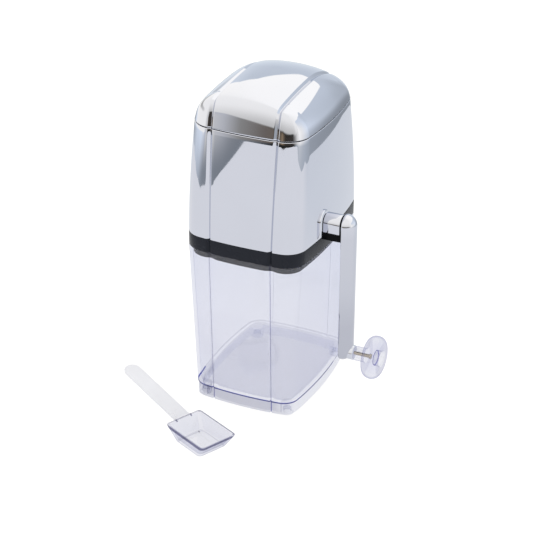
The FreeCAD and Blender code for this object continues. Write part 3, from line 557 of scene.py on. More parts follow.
# ================================================================ bucket
def bucket():
    M = Mesh()
    path = fillet([(3.3, 9.4, 0), (3.3, 1.0, 0.4), (0.7, 1.0, 0.4), (0.7, 10.9, 0.12), (0.0, 10.9, 0.22), (0.0, 12.1, 0),
                   (0.0, 129.8, 0.45), (2.6, 129.8, 0.45), (2.6, 12.0, 1.6), (6.5, 12.0, 0)], seg=5)
    # long straight runs get middle rings so the taper and corner radius stay true
    dense = []
    for (i0, z0), (i1, z1) in zip(path[:-1], path[1:]):
        dense.append((i0, z0))
        n = int(abs(z1 - z0) // 16)
        for k in range(1, n + 1):
            t = k / (n + 1)
            dense.append((i0 + (i1 - i0) * t, z0 + (z1 - z0) * t))
    dense.append(path[-1])
    rings = []
    for ins, z in dense:
        base = 0.7 if z < 10.85 and ins < 3.35 else 0.0
        w = 0.42 * GROOVE_W + 2 * max(0.0, min(ins - base, 2.6))
        rings.append(ring3(z, ins, w=w))
    ids = M.loft(rings)
    top_edge = ids[-1]
    # floor: an even inner ring, then one flat face
    inner = M.add([(x, y, 12.0) for x, y, z in ring3(12.0, 9.5, w=0.42 * GROOVE_W + 5.2)])
    m = len(inner)
    for i in range(m):
        j = (i + 1) % m
        M.face((top_edge[i], top_edge[j], inner[j], inner[i]))
    M.face(inner)
    # the grooves' bottoms and the lower edge of the wall, marked on the loft's own faces, to carry painted dark lines
    # where the light is bent aside
    L = (m + 4) // 4
    kc = N_MID + 10
    for p in range(len(dense) - 1):
        (ia, za), (ib, zb) = dense[p], dense[p + 1]
        if 10.85 < za and zb < 12.15 and ib < 0.4:
            for i in range(m):
                M.mi[p * m + i] = 1
        elif abs(ia - ib) < 0.01 and (abs(ia) < 0.01 or abs(ia - 0.7) < 0.01):
            for k in range(kc - 3, kc + 3):
                M.mi[p * m + k] = 1
                M.mi[p * m + 4 * L - 5 - k] = 1
            if abs(ia) < 0.01:
                for k in range(kc - 2, kc + 2):
                    M.mi[p * m + 2 * L - 3 - k] = 1
                    M.mi[p * m + 2 * L - 2 + k] = 1
    marked = set()
    for q, hit in zip(M.f, M.mi):
        if hit:
            c = [sum(M.v[i][k] for i in q) / len(q) for k in range(3)]
            marked.update((round(c[0] * 50) + a, round(c[1] * 50) + b, round(c[2] * 50) + d) for a in (-1, 0, 1) for b in (-1, 0, 1) for d in (-1, 0, 1))
    M.mi = [0] * len(M.mi)
    ob = M.build("bucket_clear", "bucket", CLEAR, replaces=("bucket",), angle=None)
    me = ob.data
    bm = bmesh.new()
    bm.from_mesh(me)
    # underside: flat, with the injection mark
    edges = [e for e in bm.edges if e.is_boundary]
    n = 32
    prof = [(9.4, 2.6), (8.95, 2.6), (8.8, 2.45)]
    rings = [[bm.verts.new((q * math.cos(2 * math.pi * i / n) * MM, q * math.sin(2 * math.pi * i / n) * MM, z * MM))
              for i in range(n)] for z, q in prof]
    for a, b in zip(rings[:-1], rings[1:]):
        for i in range(n):
            bm.faces.new((a[(i + 1) % n], a[i], b[i], b[(i + 1) % n]))
    bm.faces.new(rings[-1][::-1])
    edges += [bm.edges.get((rings[0][i], rings[0][(i + 1) % n])) for i in range(n)]
    bmesh.ops.triangle_fill(bm, edges=edges, use_beauty=True, use_dissolve=False, normal=Vector((0, 0, -1)))
    bmesh.ops.recalc_face_normals(bm, faces=bm.faces)
    bm.to_mesh(me)
    bm.free()
    # four foot bosses grow out of the floor into the corners of the skirt
    prof = [(10.6, 0.0), (10.6, 5.0), (1.4, 5.0), (1.12, 4.9), (1.0, 4.6), (1.0, 3.1), (1.1, 3.0), (4.9, 3.0), (5.0, 2.9), (5.0, 0.0)]
    bb = bmesh.new()
    for cx in (-34.6, 34.6):
        for cy in (-47.4, 47.4):
            rings = []
            for z, q in prof:
                if q:
                    rings.append([bb.verts.new(((cx + q * math.cos(2 * math.pi * (i + 0.37) / 36)) * MM, (cy + q * math.sin(2 * math.pi * (i + 0.37) / 36)) * MM, z * MM)) for i in range(36)])
            bb.faces.new(rings[0])
            bb.faces.new(rings[-1][::-1])
            for a, b in zip(rings[:-1], rings[1:]):
                for i in range(36):
                    bb.faces.new((a[(i + 1) % 36], a[i], b[i], b[(i + 1) % 36]))
    bmesh.ops.recalc_face_normals(bb, faces=bb.faces)
    mb = bpy.data.meshes.new("bosses_tmp")
    bb.to_mesh(mb)
    bb.free()
    tool = bpy.data.objects.new("bosses_tmp", mb)
    bpy.context.scene.collection.objects.link(tool)
    md = ob.modifiers.new("join", "BOOLEAN")
    md.operation = "UNION"
    md.solver = "EXACT"
    md.object = tool
    bpy.context.view_layer.update()
    dg = bpy.context.evaluated_depsgraph_get()
    me2 = bpy.data.meshes.new_from_object(ob.evaluated_get(dg), depsgraph=dg)
    ob.modifiers.clear()
    ob.data = me2
    bpy.data.objects.remove(tool)
    bpy.data.meshes.remove(mb)
    bpy.data.meshes.remove(me)
    me2.name = "bucket_clear"
    me2.materials.clear()
    me2.materials.append(CLEAR)
    # painted dark lines: strongest low down and in front, fainter higher up, a faint painted line along the floor's
    # edge, and a painted dark tint on the front of the skirt
    mark = me2.attributes.new("painted_edge_line", "FLOAT", "FACE")
    for f in me2.polygons:
        c = f.center / MM
        k = (round(c.x * 50), round(c.y * 50), round(c.z * 50))
        if k in marked:
            mark.data[f.index].value = 0.78 if c.z > 12.2 else 1.0 if c.z < 10.8 or c.y < -30 or (c.x > 20 and c.y < 20) else 0.3
        elif abs(c.z - 12.0) < 0.05:
            mark.data[f.index].value = 0.25
        elif c.z < 10.8 and abs(f.normal.z) < 0.5 and (c.y < -40 or (c.x < -40 and c.y < -18)):
            mark.data[f.index].value = 0.32 if c.x < 25 else 0.32 * max(0.0, 1 - (c.x - 25) / 14)
        else:
            mark.data[f.index].value = 0.0
    me2.polygons.foreach_set("use_smooth", [True] * len(me2.polygons))
    me2.polygons.foreach_set("material_index", [0] * len(me2.polygons))
    me2.set_sharp_from_angle(angle=math.radians(24))
    return ob


def feet():
    M = Mesh()
    for x, y in ((-34.6, -47.4), (34.6, -47.4), (34.6, 47.4), (-34.6, 47.4)):
        prof = fillet([(0.0, 0.0, 0), (0.0, 4.9, 0.35), (0.93, 4.9, 0.12), (0.93, 2.9, 0.1), (4.75, 2.9, 0.3), (4.75, 0.0, 0)])
        lathe_z(M, [(z, r) for z, r in prof], x, y, 36)
    return M.build("foot_pads_clear", "bucket", PAD, replaces=("foot_pads",), merge=0.002)


# ================================================================ base ring
def base_ring():
    M = Mesh()
    path = fillet([(0.0, 130.1, 0.3), (0.0, 141.1, 0.3), (6.45, 141.1, 0.4), (6.45, 123.7, 0.4), (2.95, 123.7, 0.5), (2.95, 130.1, 0.25)], closed=True)
    rings = []
    for ins, z in path:
        gf = 1.0 if ins < 3.3 else max(0.0, 1 - (ins - 3.3) / 2.6)
        if z > 135 and ins > 0.4:
            gf = max(0.0, 1 - (ins - 0.4) / 5.0)
        w = GROOVE_W if z > 129.9 and ins < 2.7 else GROOVE_W + 2 * 2.95
        at = 130.1 if z > 130.1 else None
        rings.append(ring3(z, ins, w=w, gf=gf, at=at))
    M.loft(rings, closed_v=True)
    ob = M.build("base_ring_dark", "housing", DARK, replaces=("base_ring",), angle=30)
    # deck with the ice outlet and the screw holes
    me = ob.data
    bm = bmesh.new()
    bm.from_mesh(me)
    A, B, rc, g = level(123.7)
    loops = [outline(A, B, rc, g, 6.2, GROOVE_W, 0.0)]
    x0, x1, y0, y1 = -34.0, 34.0, -45.5, -1.5
    loops.append([(x0, y0), (x1, y0), (x1, y1), (x0, y1)])
    for cx, cy, r in ((-16, -50.8, 1.5), (16, -50.8, 1.5), (-34.5, 44.5, 1.5), (34.5, 44.5, 1.5), (-39.2, AX_Y, 1.4), (39.2, AX_Y, 1.4)):
        loops.append([(cx + x, cy + y) for x, y in circle(r, 20)])
    sides = []
    for z, up in ((130.5, -1), (133.5, 1)):
        edges, rows = [], []
        for lp in loops:
            vs = [bm.verts.new((x * MM, y * MM, z * MM)) for x, y in lp]
            es = [bm.edges.new((vs[i], vs[(i + 1) % len(vs)])) for i in range(len(vs))]
            edges += es
            rows.append(vs)
        bmesh.ops.triangle_fill(bm, edges=edges, use_beauty=True, normal=Vector((0, 0, up)))
        sides.append(rows)
    for a, b in zip(*sides):
        n = len(a)
        for i in range(n):
            bm.faces.new((a[i], a[(i + 1) % n], b[(i + 1) % n], b[i]))
    deck = [f for f in bm.faces if all(130.4 * MM < v.co.z < 133.6 * MM for v in f.verts) and all(abs(v.co.z - 130.5 * MM) < 1e-6 or abs(v.co.z - 133.5 * MM) < 1e-6 for v in f.verts)]
    bmesh.ops.recalc_face_normals(bm, faces=deck)
    bm.to_mesh(me)
    bm.free()
    for p in me.polygons:
        p.use_smooth = True
    me.set_sharp_from_angle(angle=math.radians(30))
    return ob


# ================================================================ chromed housing
def housing():
    M = Mesh()
    path = fillet([(0.0, Z_HOUSE_LO, 0.35), (0.0, Z_SPLIT_LO, 0.45), (2.8, Z_SPLIT_LO, 0.3), (2.8, Z_HOUSE_LO, 0.3)], closed=True)
    dense = []
    n = len(path)
    for k in range(n):
        (i0, z0), (i1, z1) = path[k], path[(k + 1) % n]
        dense.append((i0, z0))
        c = int(abs(z1 - z0) // 3.2)
        for q in range(1, c + 1):
            t = q / (c + 1)
            dense.append((i0 + (i1 - i0) * t, z0 + (z1 - z0) * t))
    rings = []
    for ins, z in dense:
        gf = 1.0 if ins < 0.5 else max(0.0, 1 - (ins - 0.5) / 1.9)
        rings.append(ring3(z, ins, w=GROOVE_W, gf=gf))
    M.loft(rings, closed_v=True)
    # posts for the screws from the deck
    for x, y in ((-16.0, -50.8), (16.0, -50.8), (-34.5, 44.5), (34.5, 44.5)):
        prof = fillet([(149.0, 0.0, 0), (149.0, 1.5, 0), (133.6, 1.5, 0.1), (133.6, 3.0, 0.2), (165.0, 3.0, 0.3), (165.0, 0.0, 0)])
        lathe_z(M, prof, x, y, 28, flip=False)
        if y > 0:
            s = 1 if x > 0 else -1
            far = s * (48.6 - BOW_SIDE * (y / 61.0) ** 2 - 0.4)
            poly = [(min(x, far), y - 1.2), (max(x, far), y - 1.2), (max(x, far), y + 1.2), (min(x, far), y + 1.2)]
            far_x = 42.3
            poly = [(min(x, s * far_x), y - 1.2), (max(x, s * far_x), y - 1.2), (max(x, s * far_x), y + 1.2), (min(x, s * far_x), y + 1.2)]
        else:
            poly = [(x - 1.2, -56.6), (x + 1.2, -56.6), (x + 1.2, y), (x - 1.2, y)]
        plate(M, poly, 142.2, 165.0, lambda u, v, a: (u, v, a), r=0.25)
    # hinge knuckles on the back wall
    a = [(53.4, 218.6), (HINGE_Y + 2.2, HINGE_Z - 2.4)]
    prof2 = [(52.4, 226.6), (52.4, 219.4), (54.6, 220.6)]
    n = 18
    for k in range(n + 1):
        q = math.radians(-42 + (132.0) * k / n)
        prof2.append((HINGE_Y + 3.2 * math.cos(q), HINGE_Z + 3.2 * math.sin(q)))
    prof2 += [(HINGE_Y - 2.2, HINGE_Z + 2.3), (HINGE_Y - 3.1, HINGE_Z + 0.6), (HINGE_Y - 3.3, 226.6)]
    for x0, x1 in ((-18.0, -8.0), (8.0, 18.0)):
        plate(M, prof2, x0, x1, lambda u, v, a: (a, u, v), r=0.35)
    ob = M.build("housing_chrome", "housing", CHROME, replaces=("housing_shell",), angle=34)
    return ob


# ================================================================ dome lid
DOME_KX, DOME_KX4, DOME_KX6, DOME_KF, DOME_KB, DOME_Y0, DOME_C = 11.38, 8.77, -1.12, 5.45, 20.5, 7.31, 5.46
DOME_LEAN_F, DOME_LEAN_S, DOME_K_F, DOME_K_S = math.radians(13.0), math.radians(12.0), 2.91, 1.60
DOME_H = 28.6


class Dome:
    def __init__(self, inset, h):
        A, B, rc, g = level(Z_SPLIT)
        P = Plan(A, B, rc)
        self.P, self.inset, self.h = P, inset, h
        self.A, self.B = A - inset, B - inset

    def wall(self, x, y):
        """How far inside the outline, and which way the nearest wall faces."""
        P = self.P
        ax, ay = np.abs(x), -np.abs(y)
        df = P.Rf - self.inset - np.hypot(ax - P.cf[0], ay - P.cf[1])
        ds = P.Rs - self.inset - np.hypot(ax - P.cs[0], ay - P.cs[1])
        an = np.arctan2(ay - P.c[1], ax - P.c[0])
        corner = (an > P.b0) & (an < P.b1)
        dc = P.rc - self.inset - np.hypot(ax - P.c[0], ay - P.c[1])
        d = np.where(corner, dc, np.minimum(df, ds))
        nx = np.where(corner, np.cos(an), np.where(df < ds, ax / P.Rf, (ax - P.cs[0]) / P.Rs))
        ny = np.sqrt(np.maximum(1 - np.minimum(nx * nx, 1.0), 0.0))
        return d, nx, ny

    def z(self, x, y):
        d, nx, ny = self.wall(x, y)
        d = np.maximum(d, 1e-4)
        side = d * (ny * ny / math.tan(DOME_LEAN_F) + nx * nx / math.tan(DOME_LEAN_S)) * (1 + (d / 12.0) ** 2)
        k = ny * ny * DOME_K_F + nx * nx * DOME_K_S
        u, v = (x / self.A) ** 2, (y - DOME_Y0) / self.B
        top = self.h - DOME_KX * u - DOME_KX4 * u * u - DOME_KX6 * u ** 3
        top = top - np.where(v < 0, DOME_KF, DOME_KB) * v * v + DOME_C * u * v * v
        top = np.maximum(top, 0.5)
        return Z_SPLIT_HI + (side ** -k + top ** -k) ** (-1.0 / k)

    def normal(self, x, y):
        d, nx, ny = self.wall(x, y)
        k = np.maximum(0.05 - d, 0.0)
        xs, ys = x - np.sign(x) * nx * k, y - np.sign(y) * ny * k
        e = 0.01
        zx = (self.z(xs + e, ys) - self.z(xs - e, ys)) / (2 * e)
        zy = (self.z(xs, ys + e) - self.z(xs, ys - e)) / (2 * e)
        n = np.stack([-zx, -zy, np.ones_like(zx)], -1)
        return n / np.linalg.norm(n, axis=-1, keepdims=True)


def dome_grid(D, J=112, U=34, edge=1.0, w=GROOVE_W, soft=SOFT, grooves=True):
    """Grid over the dome: columns at constant x in the middle, two fans at the sides. Returns points and normals."""
    P, g = D.P, level(Z_SPLIT)[3]
    xs = half_xs(g, w, soft)
    cols = [-x for x in xs[::-1]] + xs[1:]
    ins = D.inset
    # even steps along a front-to-back profile
    m = np.linspace(0, 1, 8001)
    prof = (np.maximum((1 - m) * 52.0 * 4.3, 1e-4) ** -2.9 + 24.0 ** -2.9) ** (-1 / 2.9)
    arc = np.concatenate([[0], np.cumsum(np.hypot(np.diff(m * 52.0), np.diff(prof)))])
    half = J // 2
    ms = np.interp(np.linspace(0, arc[-1], half + 1), arc, m)
    sg = np.concatenate([-ms[::-1], ms[1:]])          # -1 front .. 1 back, J + 1 values

    def rim(x):
        tau = P.tau_x(abs(x))
        px, py, nx, ny = P.at(tau)
        return px - nx * ins, py - ny * ins

    pts = []
    for x in cols:
        rx, ry = rim(x)
        k = edge
        col = []
        for s in sg:
            col.append((np.sign(x) * abs(rx) * 1.0, s * abs(ry) * k))
        pts.append(col)
    # columns stay at constant x; only the inset rim shifts x slightly, so blend it towards the edge
    arr = np.array(pts)
    nc = len(cols)
    for i, x in enumerate(cols):
        rx, ry = rim(x)
        rxs = math.copysign(abs(rx), x) if x != 0 else 0.0
        t = np.abs(sg) ** 6
        arr[i, :, 0] = x + (rxs * edge - x) * t
        arr[i, :, 1] = sg * abs(ry) * edge
    # side fans
    tau0 = P.tau_x(xs[-1])
    taus = [tau0 + (3.0 - tau0) * k / half for k in range(half + 1)]
    # share the cells between corner and side by length
    n1 = int(round(half * 0.62))
    taus = [tau0 + (2.0 - tau0) * k / n1 for k in range(n1 + 1)] + [2.0 + (k + 1) / (half - n1) for k in range(half - n1)]
    O = []
    for tau in taus:
        px, py, nx, ny = P.at(tau)
        O.append(((px - nx * ins) * edge, (py - ny * ins) * edge))
    O = O + [(x, -y) for x, y in O[::-1][1:]]
    O = np.array(O)                                   # J + 1 points, front to back, on the right
    us = 1 - (1 - np.linspace(0, 1, U + 1)) ** 1.9
    right = arr[-1]
    fanR = np.stack([right + (O - right) * u for u in us[1:]], 0)
    left = arr[0]
    OL = O * np.array([-1.0, 1.0])
    fanL = np.stack([left + (OL - left) * u for u in us[1:]], 0)
    allp = np.concatenate([fanL[::-1], arr, fanR], 0)   # (U + nc + U) x (J + 1)
    X, Y = allp[..., 0], allp[..., 1]
    Z = D.z(X, Y)
    if edge == 1.0:
        Z[:, 0] = Z_SPLIT_HI
        Z[:, -1] = Z_SPLIT_HI
        Z[0, :] = Z_SPLIT_HI
        Z[-1, :] = Z_SPLIT_HI
    Nn = D.normal(X, Y)
    V = np.stack([X, Y, Z], -1)
    if grooves:
        dep = np.vectorize(lambda v: groove_depth(v, g, w, soft))(X) * GROOVE_D
        e = 0.004
        dd = np.vectorize(lambda v: (groove_depth(v + e, g, w, soft) - groove_depth(v - e, g, w, soft)) / (2 * e))(X) * GROOVE_D
        V = V - Nn * dep[..., None]
        # groove runs at constant x, across direction is along +x on the surface
        T = np.stack([np.zeros_like(X), Nn[..., 2], -Nn[..., 1]], -1)
        T = T / np.maximum(np.linalg.norm(T, axis=-1, keepdims=True), 1e-9)
        C = np.cross(T, Nn)
        C = C * np.sign(C[..., 0:1] + 1e-12)
        N2 = Nn + C * (dd * C[..., 0])[..., None]
        Nn = N2 / np.linalg.norm(N2, axis=-1, keepdims=True)
    return V, Nn


def lid():
    M = Mesh()
    D = Dome(0.0, DOME_H)
    V, Nn = dome_grid(D)
    R, C = V.shape[:2]
    nrm = {}
    base = len(M.v)
    M.v.extend([tuple(p) for p in V.reshape(-1, 3)])
    for i in range(R - 1):
        for j in range(C - 1):
            M.face((base + i * C + j, base + (i + 1) * C + j, base + (i + 1) * C + j + 1, base + i * C + j + 1))
    for i in range(R * C):
        nrm[base + i] = tuple(Nn.reshape(-1, 3)[i])

    def rim_ids(R, C, U):
        front = [i * C for i in range(U, R - U)]                       # left to right at the front
        right = [(R - 1) * C + j for j in range(1, C - 1)]
        back = [i * C + C - 1 for i in range(R - 1 - U, U - 1, -1)]
        left = [0 * C + j for j in range(C - 2, 0, -1)]
        return front + right + back + left
    U = 34
    rim = rim_ids(R, C, U)
    # rings below the rim: rounded edge, landing, locating lip
    P = Plan(*level(Z_SPLIT)[:3])
    g = level(Z_SPLIT)[3]
    pos = np.array([M.v[i] for i in rim])
    # plan normals at the rim points come from the dome's normals, laid flat
    nn = np.array([nrm[i] for i in rim])
    Dn = D.normal(pos[:, 0], pos[:, 1])[:, :2]
    Dn = Dn / np.linalg.norm(Dn, axis=1, keepdims=True)
    flat = pos[:, :2].copy()
    # undo the groove displacement to know the plain outline
    dep = np.array([groove_depth(p[0], g, GROOVE_W, SOFT) if abs(p[0]) < 30 else 0.0 for p in pos]) * GROOVE_D
    plain = flat + Dn * dep[:, None]
    path = fillet([(0.0, Z_SPLIT_HI + 0.6, 0), (0.0, Z_SPLIT_HI, 0.4), (3.3, Z_SPLIT_HI, 0.3), (3.3, 223.3, 0.7), (5.2, 223.3, 0.5), (5.2, 229.6, 0.8), (3.34, 229.9, 0)], seg=4)
    path = [p for p in path if not (p[1] > Z_SPLIT_HI + 0.39 and p[0] < 0.1)]
    prev = rim
    # the dome's own bottom ring is lifted a little to leave room for the rounded edge
    for k, i in enumerate(rim):
        x, y, z = M.v[i]
        M.v[i] = (x, y, Z_SPLIT_HI + 0.40)
        nrm[i] = (nn[k][0], nn[k][1], 0.0)
    for ins, z in path:
        gf = max(0.0, 1 - ins / 3.0)
        q = plain - Dn * (ins + dep * gf)[:, None]
        ids = M.add([(x, y, z) for x, y in q])
        m = len(ids)
        for i in range(m):
            j = (i + 1) % m
            M.face((prev[j], prev[i], ids[i], ids[j]))
        prev = ids
    for i in range(U):
        for j in (0, C - 1):
            M.v[i * C + j] = M.v[U * C + j]
            M.v[(R - 1 - i) * C + j] = M.v[(R - 1 - U) * C + j]
    # inner skin of the dome
    Di = Dome(3.0, DOME_H - 3.0)
    zi = 229.9
    lv = (zi - Z_SPLIT_HI) / 24.0
    edge = 0.9925
    Vi, Ni = dome_grid(Di, edge=edge, grooves=False)
    basei = len(M.v)
    M.v.extend([tuple(p) for p in Vi.reshape(-1, 3)])
    for i in range(R - 1):
        for j in range(C - 1):
            M.face((basei + i * C + j + 1, basei + (i + 1) * C + j + 1, basei + (i + 1) * C + j, basei + i * C + j))
    for i in range(R * C):
        n = Ni.reshape(-1, 3)[i]
        nrm[basei + i] = (-n[0], -n[1], -n[2])
    rim2 = [basei + i for i in rim]
    m = len(rim2)
    for i in range(m):
        j = (i + 1) % m
        M.face((prev[j], prev[i], rim2[i], rim2[j]))
    # hinge knuckle
    first = len(M.v)
    n = 20
    prof2 = [(51.2, Z_SPLIT_HI + 0.05), (HINGE_Y - 3.25, Z_SPLIT_HI + 0.05)]
    for k in range(n + 1):
        q = math.radians(184 + (266.0) * k / n)
        prof2.append((HINGE_Y + 3.2 * math.cos(q), HINGE_Z + 3.2 * math.sin(q)))
    prof2 += [(51.2, HINGE_Z + 3.2)]
    plate(M, prof2, -7.6, 7.6, lambda u, v, a: (a, u, v), r=0.35)
    # points that fall together are one vertex
    seen, remap, verts, keep = {}, [], [], []
    for i, p in enumerate(M.v):
        key = tuple(round(c * 2000) for c in p)
        if key not in seen:
            seen[key] = len(verts)
            verts.append(p)
            keep.append(i)
        remap.append(seen[key])
    faces, soft_faces = [], []
    for f in M.f:
        q = []
        for i in f:
            if remap[i] not in q:
                q.append(remap[i])
        if len(q) > 2:
            faces.append(tuple(q))
            soft_faces.append(max(f) < basei + R * C and (max(f) < R * C or min(f) >= basei))
    nrm = {remap[i]: n for i, n in reversed(list(nrm.items()))}
    M.v, M.f = verts, faces
    me = bpy.data.meshes.new("lid_chrome")
    me.from_pydata([(x * MM, y * MM, z * MM) for x, y, z in M.v], [], M.f)
    ob = bpy.data.objects.new("lid_chrome", me)
    bpy.context.scene.collection.objects.link(ob)
    me.materials.append(CHROME)
    for p in me.polygons:
        p.use_smooth = True
    me.update()
    me.set_sharp_from_angle(angle=math.radians(40))
    # exact normals on the dome, the mesh's own elsewhere
    loops = []
    cn = [tuple(c.vector) for c in me.corner_normals]
    for p in me.polygons:
        for li in p.loop_indices:
            vi = me.loops[li].vertex_index
            loops.append(nrm[vi] if vi in nrm and soft_faces[p.index] else cn[li])
    me.normals_split_custom_set(loops)
    for v in me.vertices:
        v.co.z = min(v.co.z, 0.25580)
    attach(ob, "lid")
    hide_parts("lid")
    return ob


# ================================================================ crank boss on the right wall
def arch_poly(r, z0, n=36, rb=0.6):
    """Closed outline in (y, z), counter-clockwise seen from +X: round top, straight sides down to z0."""
    pts = []
    for k in range(n + 1):
        q = math.pi * k / n
        pts.append((AX_Y + r * math.cos(q), AX_Z + r * math.sin(q)))
    zs = np.linspace(AX_Z, z0 + rb, 6)[1:]
    pts += [(AX_Y - r, z) for z in zs]
    for k in range(1, 5):
        q = math.pi + math.pi / 2 * k / 4
        pts.append((AX_Y - r + rb + rb * math.cos(q), z0 + rb + rb * math.sin(q)))
    for k in range(0, 5):
        q = 1.5 * math.pi + math.pi / 2 * k / 4
        pts.append((AX_Y + r - rb + rb * math.cos(q), z0 + rb + rb * math.sin(q)))
    pts += [(AX_Y + r, z) for z in zs[::-1][1:]]
    return pts


def escutcheon():
    M = Mesh()
    rings = []
    prof = [(44.5, 0.0), (48.3, 0.0), (49.8, 0.0), (50.9, 0.0), (51.25, 0.06), (51.52, 0.26), (51.66, 0.52), (51.7, 0.85), (51.7, 1.4)]
    for x, d in prof:
        z0 = max(142.1, 139.1 + (x - 46.0) * 16.5 / 14.0)
        poly = arch_poly(8.3, z0)
        if d:
            poly = offset_poly(poly, d)
        rings.append([(x, u, v) for u, v in poly])
    M.loft(rings, cap0=True, cap1=True)
    return M.build("crank_escutcheon_chrome", "housing", CHROME, replaces=("crank_escutcheon",), angle=34)


def bearing():
    M = Mesh()
    to = lambda u, v, a: (a, u, v)
    zlo, zhi = 143.7, 149.7
    b = [(AX_Y - 7.0, zlo), (AX_Y + 7.0, zlo), (AX_Y + 7.0, zhi - 0.05), (AX_Y - 7.0, zhi - 0.05)]
    plate(M, b, 51.8, 65.8, to, r=0.2)
    plate(M, arch_poly(7.1, zlo, rb=0.4), 65.75, 67.0, to, r=0.12)
    plate(M, arch_poly(5.85, zlo + 1, rb=0.3), 51.75, 66.3, to, r=0.1)
    lathe_x(M, [(51.5, 4.05), (51.5, 6.45), (43.8, 6.45), (43.8, 8.9), (42.0, 8.9), (41.8, 8.7), (41.8, 4.05)], AX_Y, AX_Z, 40, closed=True)
    M.build("bearing_block_black", "housing", BLACK, replaces=("bearing_block",), angle=34)
    M = Mesh()
    outer = arch_poly(7.1, zhi, n=48, rb=0.25)
    inner = [(AX_Y + 5.9, zhi)] + [(AX_Y + 5.9 * math.cos(math.pi * k / 48), AX_Z + 5.9 * math.sin(math.pi * k / 48)) for k in range(49)] + [(AX_Y - 5.9, zhi)]
    # U outline: outer from the right foot over the top to the left foot, then back along the inside
    o = [(AX_Y + 7.1, zhi)] + [(AX_Y + 7.1, z) for z in (151.4, 153.4)] + [(AX_Y + 7.1 * math.cos(math.pi * k / 48), AX_Z + 7.1 * math.sin(math.pi * k / 48)) for k in range(49)] + [(AX_Y - 7.1, z) for z in (153.4, 151.4)] + [(AX_Y - 7.1, zhi)]
    u = o + inner[::-1]
    plate(M, u, 53.0, 65.7, to, r=0.3)
    M.build("bearing_cover_chrome", "housing", CHROME, replaces=("bearing_cover",), angle=34)


# ================================================================ crank arm, knob
def crank_arm():
    M = Mesh()
    x0, t, r, edge = 67.5, 9.0, 8.4, 1.8
    crown = t - edge
    R = (r * r + crown * crown) / (2 * crown)
    cx = x0 + t - R
    nd = 30
    prof = [(r - 3.0, x0), (r - 0.35, x0), (r - 0.10, x0 + 0.1), (r, x0 + 0.35), (r, x0 + edge - 0.35)]
    prof += [(r - 0.02, x0 + edge - 0.12), (r - 0.09, x0 + edge + 0.16)]
    for k in range(1, nd + 1):
        d = (r - 0.09) * math.cos(math.pi / 2 * k / nd)
        prof.append((d, cx + math.sqrt(R * R - d * d)))
    na, nb = 36, 30
    rings = []
    for d, x in prof:
        d = max(d, 0.0)
        ring = []
        for k in range(na + 1):
            q = math.pi * k / na
            ring.append((x, AX_Y + d * math.cos(q), AX_Z + d * math.sin(q)))
        for k in range(1, nb):
            ring.append((x, AX_Y - d, AX_Z + (ARM_LO - AX_Z) * k / nb))
        for k in range(na + 1):
            q = math.pi + math.pi * k / na
            ring.append((x, AX_Y + d * math.cos(q), ARM_LO + d * math.sin(q)))
        for k in range(1, nb):
            ring.append((x, AX_Y + d, ARM_LO + (AX_Z - ARM_LO) * k / nb))
        rings.append(ring)
    M.loft(rings, cap0=True)
    return M.build("crank_arm_chrome", "crank", ARM_CHROME, replaces=("crank_arm",), angle=36, merge=0.001)


def knob_parts():
    M = Mesh()
    prof = fillet([(71.9, 1.4, 0), (71.9, 5.6, 0.3), (77.6, 5.6, 0.35), (77.6, 1.4, 0)], seg=4)
    lathe_x(M, prof, AX_Y, KNOB_Z, 56, closed=True)
    M.build("knob_collar_chrome", "crank", CHROME, replaces=("knob_collar",), angle=34)
    M = Mesh()
    prof = fillet([(67.7, 0.0, 0), (67.7, 1.33, 0.2), (90.05, 1.33, 0.1), (90.05, 1.95, 0.2), (91.4, 1.95, 0.4), (91.45, 0.0, 0)], seg=4)
    lathe_x(M, prof, AX_Y, KNOB_Z, 40)
    M.build("knob_spindle_metal", "crank", SPINDLE, replaces=("knob_spindle",), angle=34, merge=0.001)
    M = Mesh()
    R, x0, x1 = 16.4, 87.7, 99.7
    h = (x1 - x0) / 2
    rr = h * 0.80
    body = [(78.0, 1.4), (78.0, 4.9), (78.07, 5.1), (78.22, 5.26), (78.5, 5.36), (78.8, 5.4), (86.8, 5.4), (87.1, 5.46), (87.35, 5.62), (87.55, 5.86), (87.66, 6.2), (87.7, 6.6)]
    nn = 24
    body += [(x0 + h - h * math.cos(math.pi * k / nn), R - rr + rr * math.sin(math.pi * k / nn)) for k in range(nn + 1)]
    body += [(99.7, 7.0), (99.67, 6.7), (99.58, 6.4), (99.4, 6.18), (99.1, 6.02), (98.8, 6.0), (95.3, 6.0), (95.0, 5.96), (94.8, 5.84), (94.65, 5.6), (94.6, 5.3), (94.6, 0.0)]
    body = [(91.7, 0.0), (91.7, 1.9), (91.62, 2.08), (91.45, 2.15), (90.1, 2.15), (89.9, 2.05), (89.85, 1.9), (89.85, 1.4)] + body
    lathe_x(M, body, AX_Y, KNOB_Z, 96)
    ob = M.build("knob_clear", "knob", CLEAR_KNOB, replaces=("knob",), angle=30, merge=0.001)
    # the inner corner of the recess bends the light aside, so a dark line is painted on it
    me = ob.data
    mark = me.attributes.new("painted_edge_line", "FLOAT", "FACE")
    for f in me.polygons:
        r = math.hypot(f.center.y / MM - AX_Y, f.center.z / MM - KNOB_Z)
        mark.data[f.index].value = 1.0 if 5.25 < r < 6.05 and 94.0 < f.center.x / MM < 95.6 else 0.0


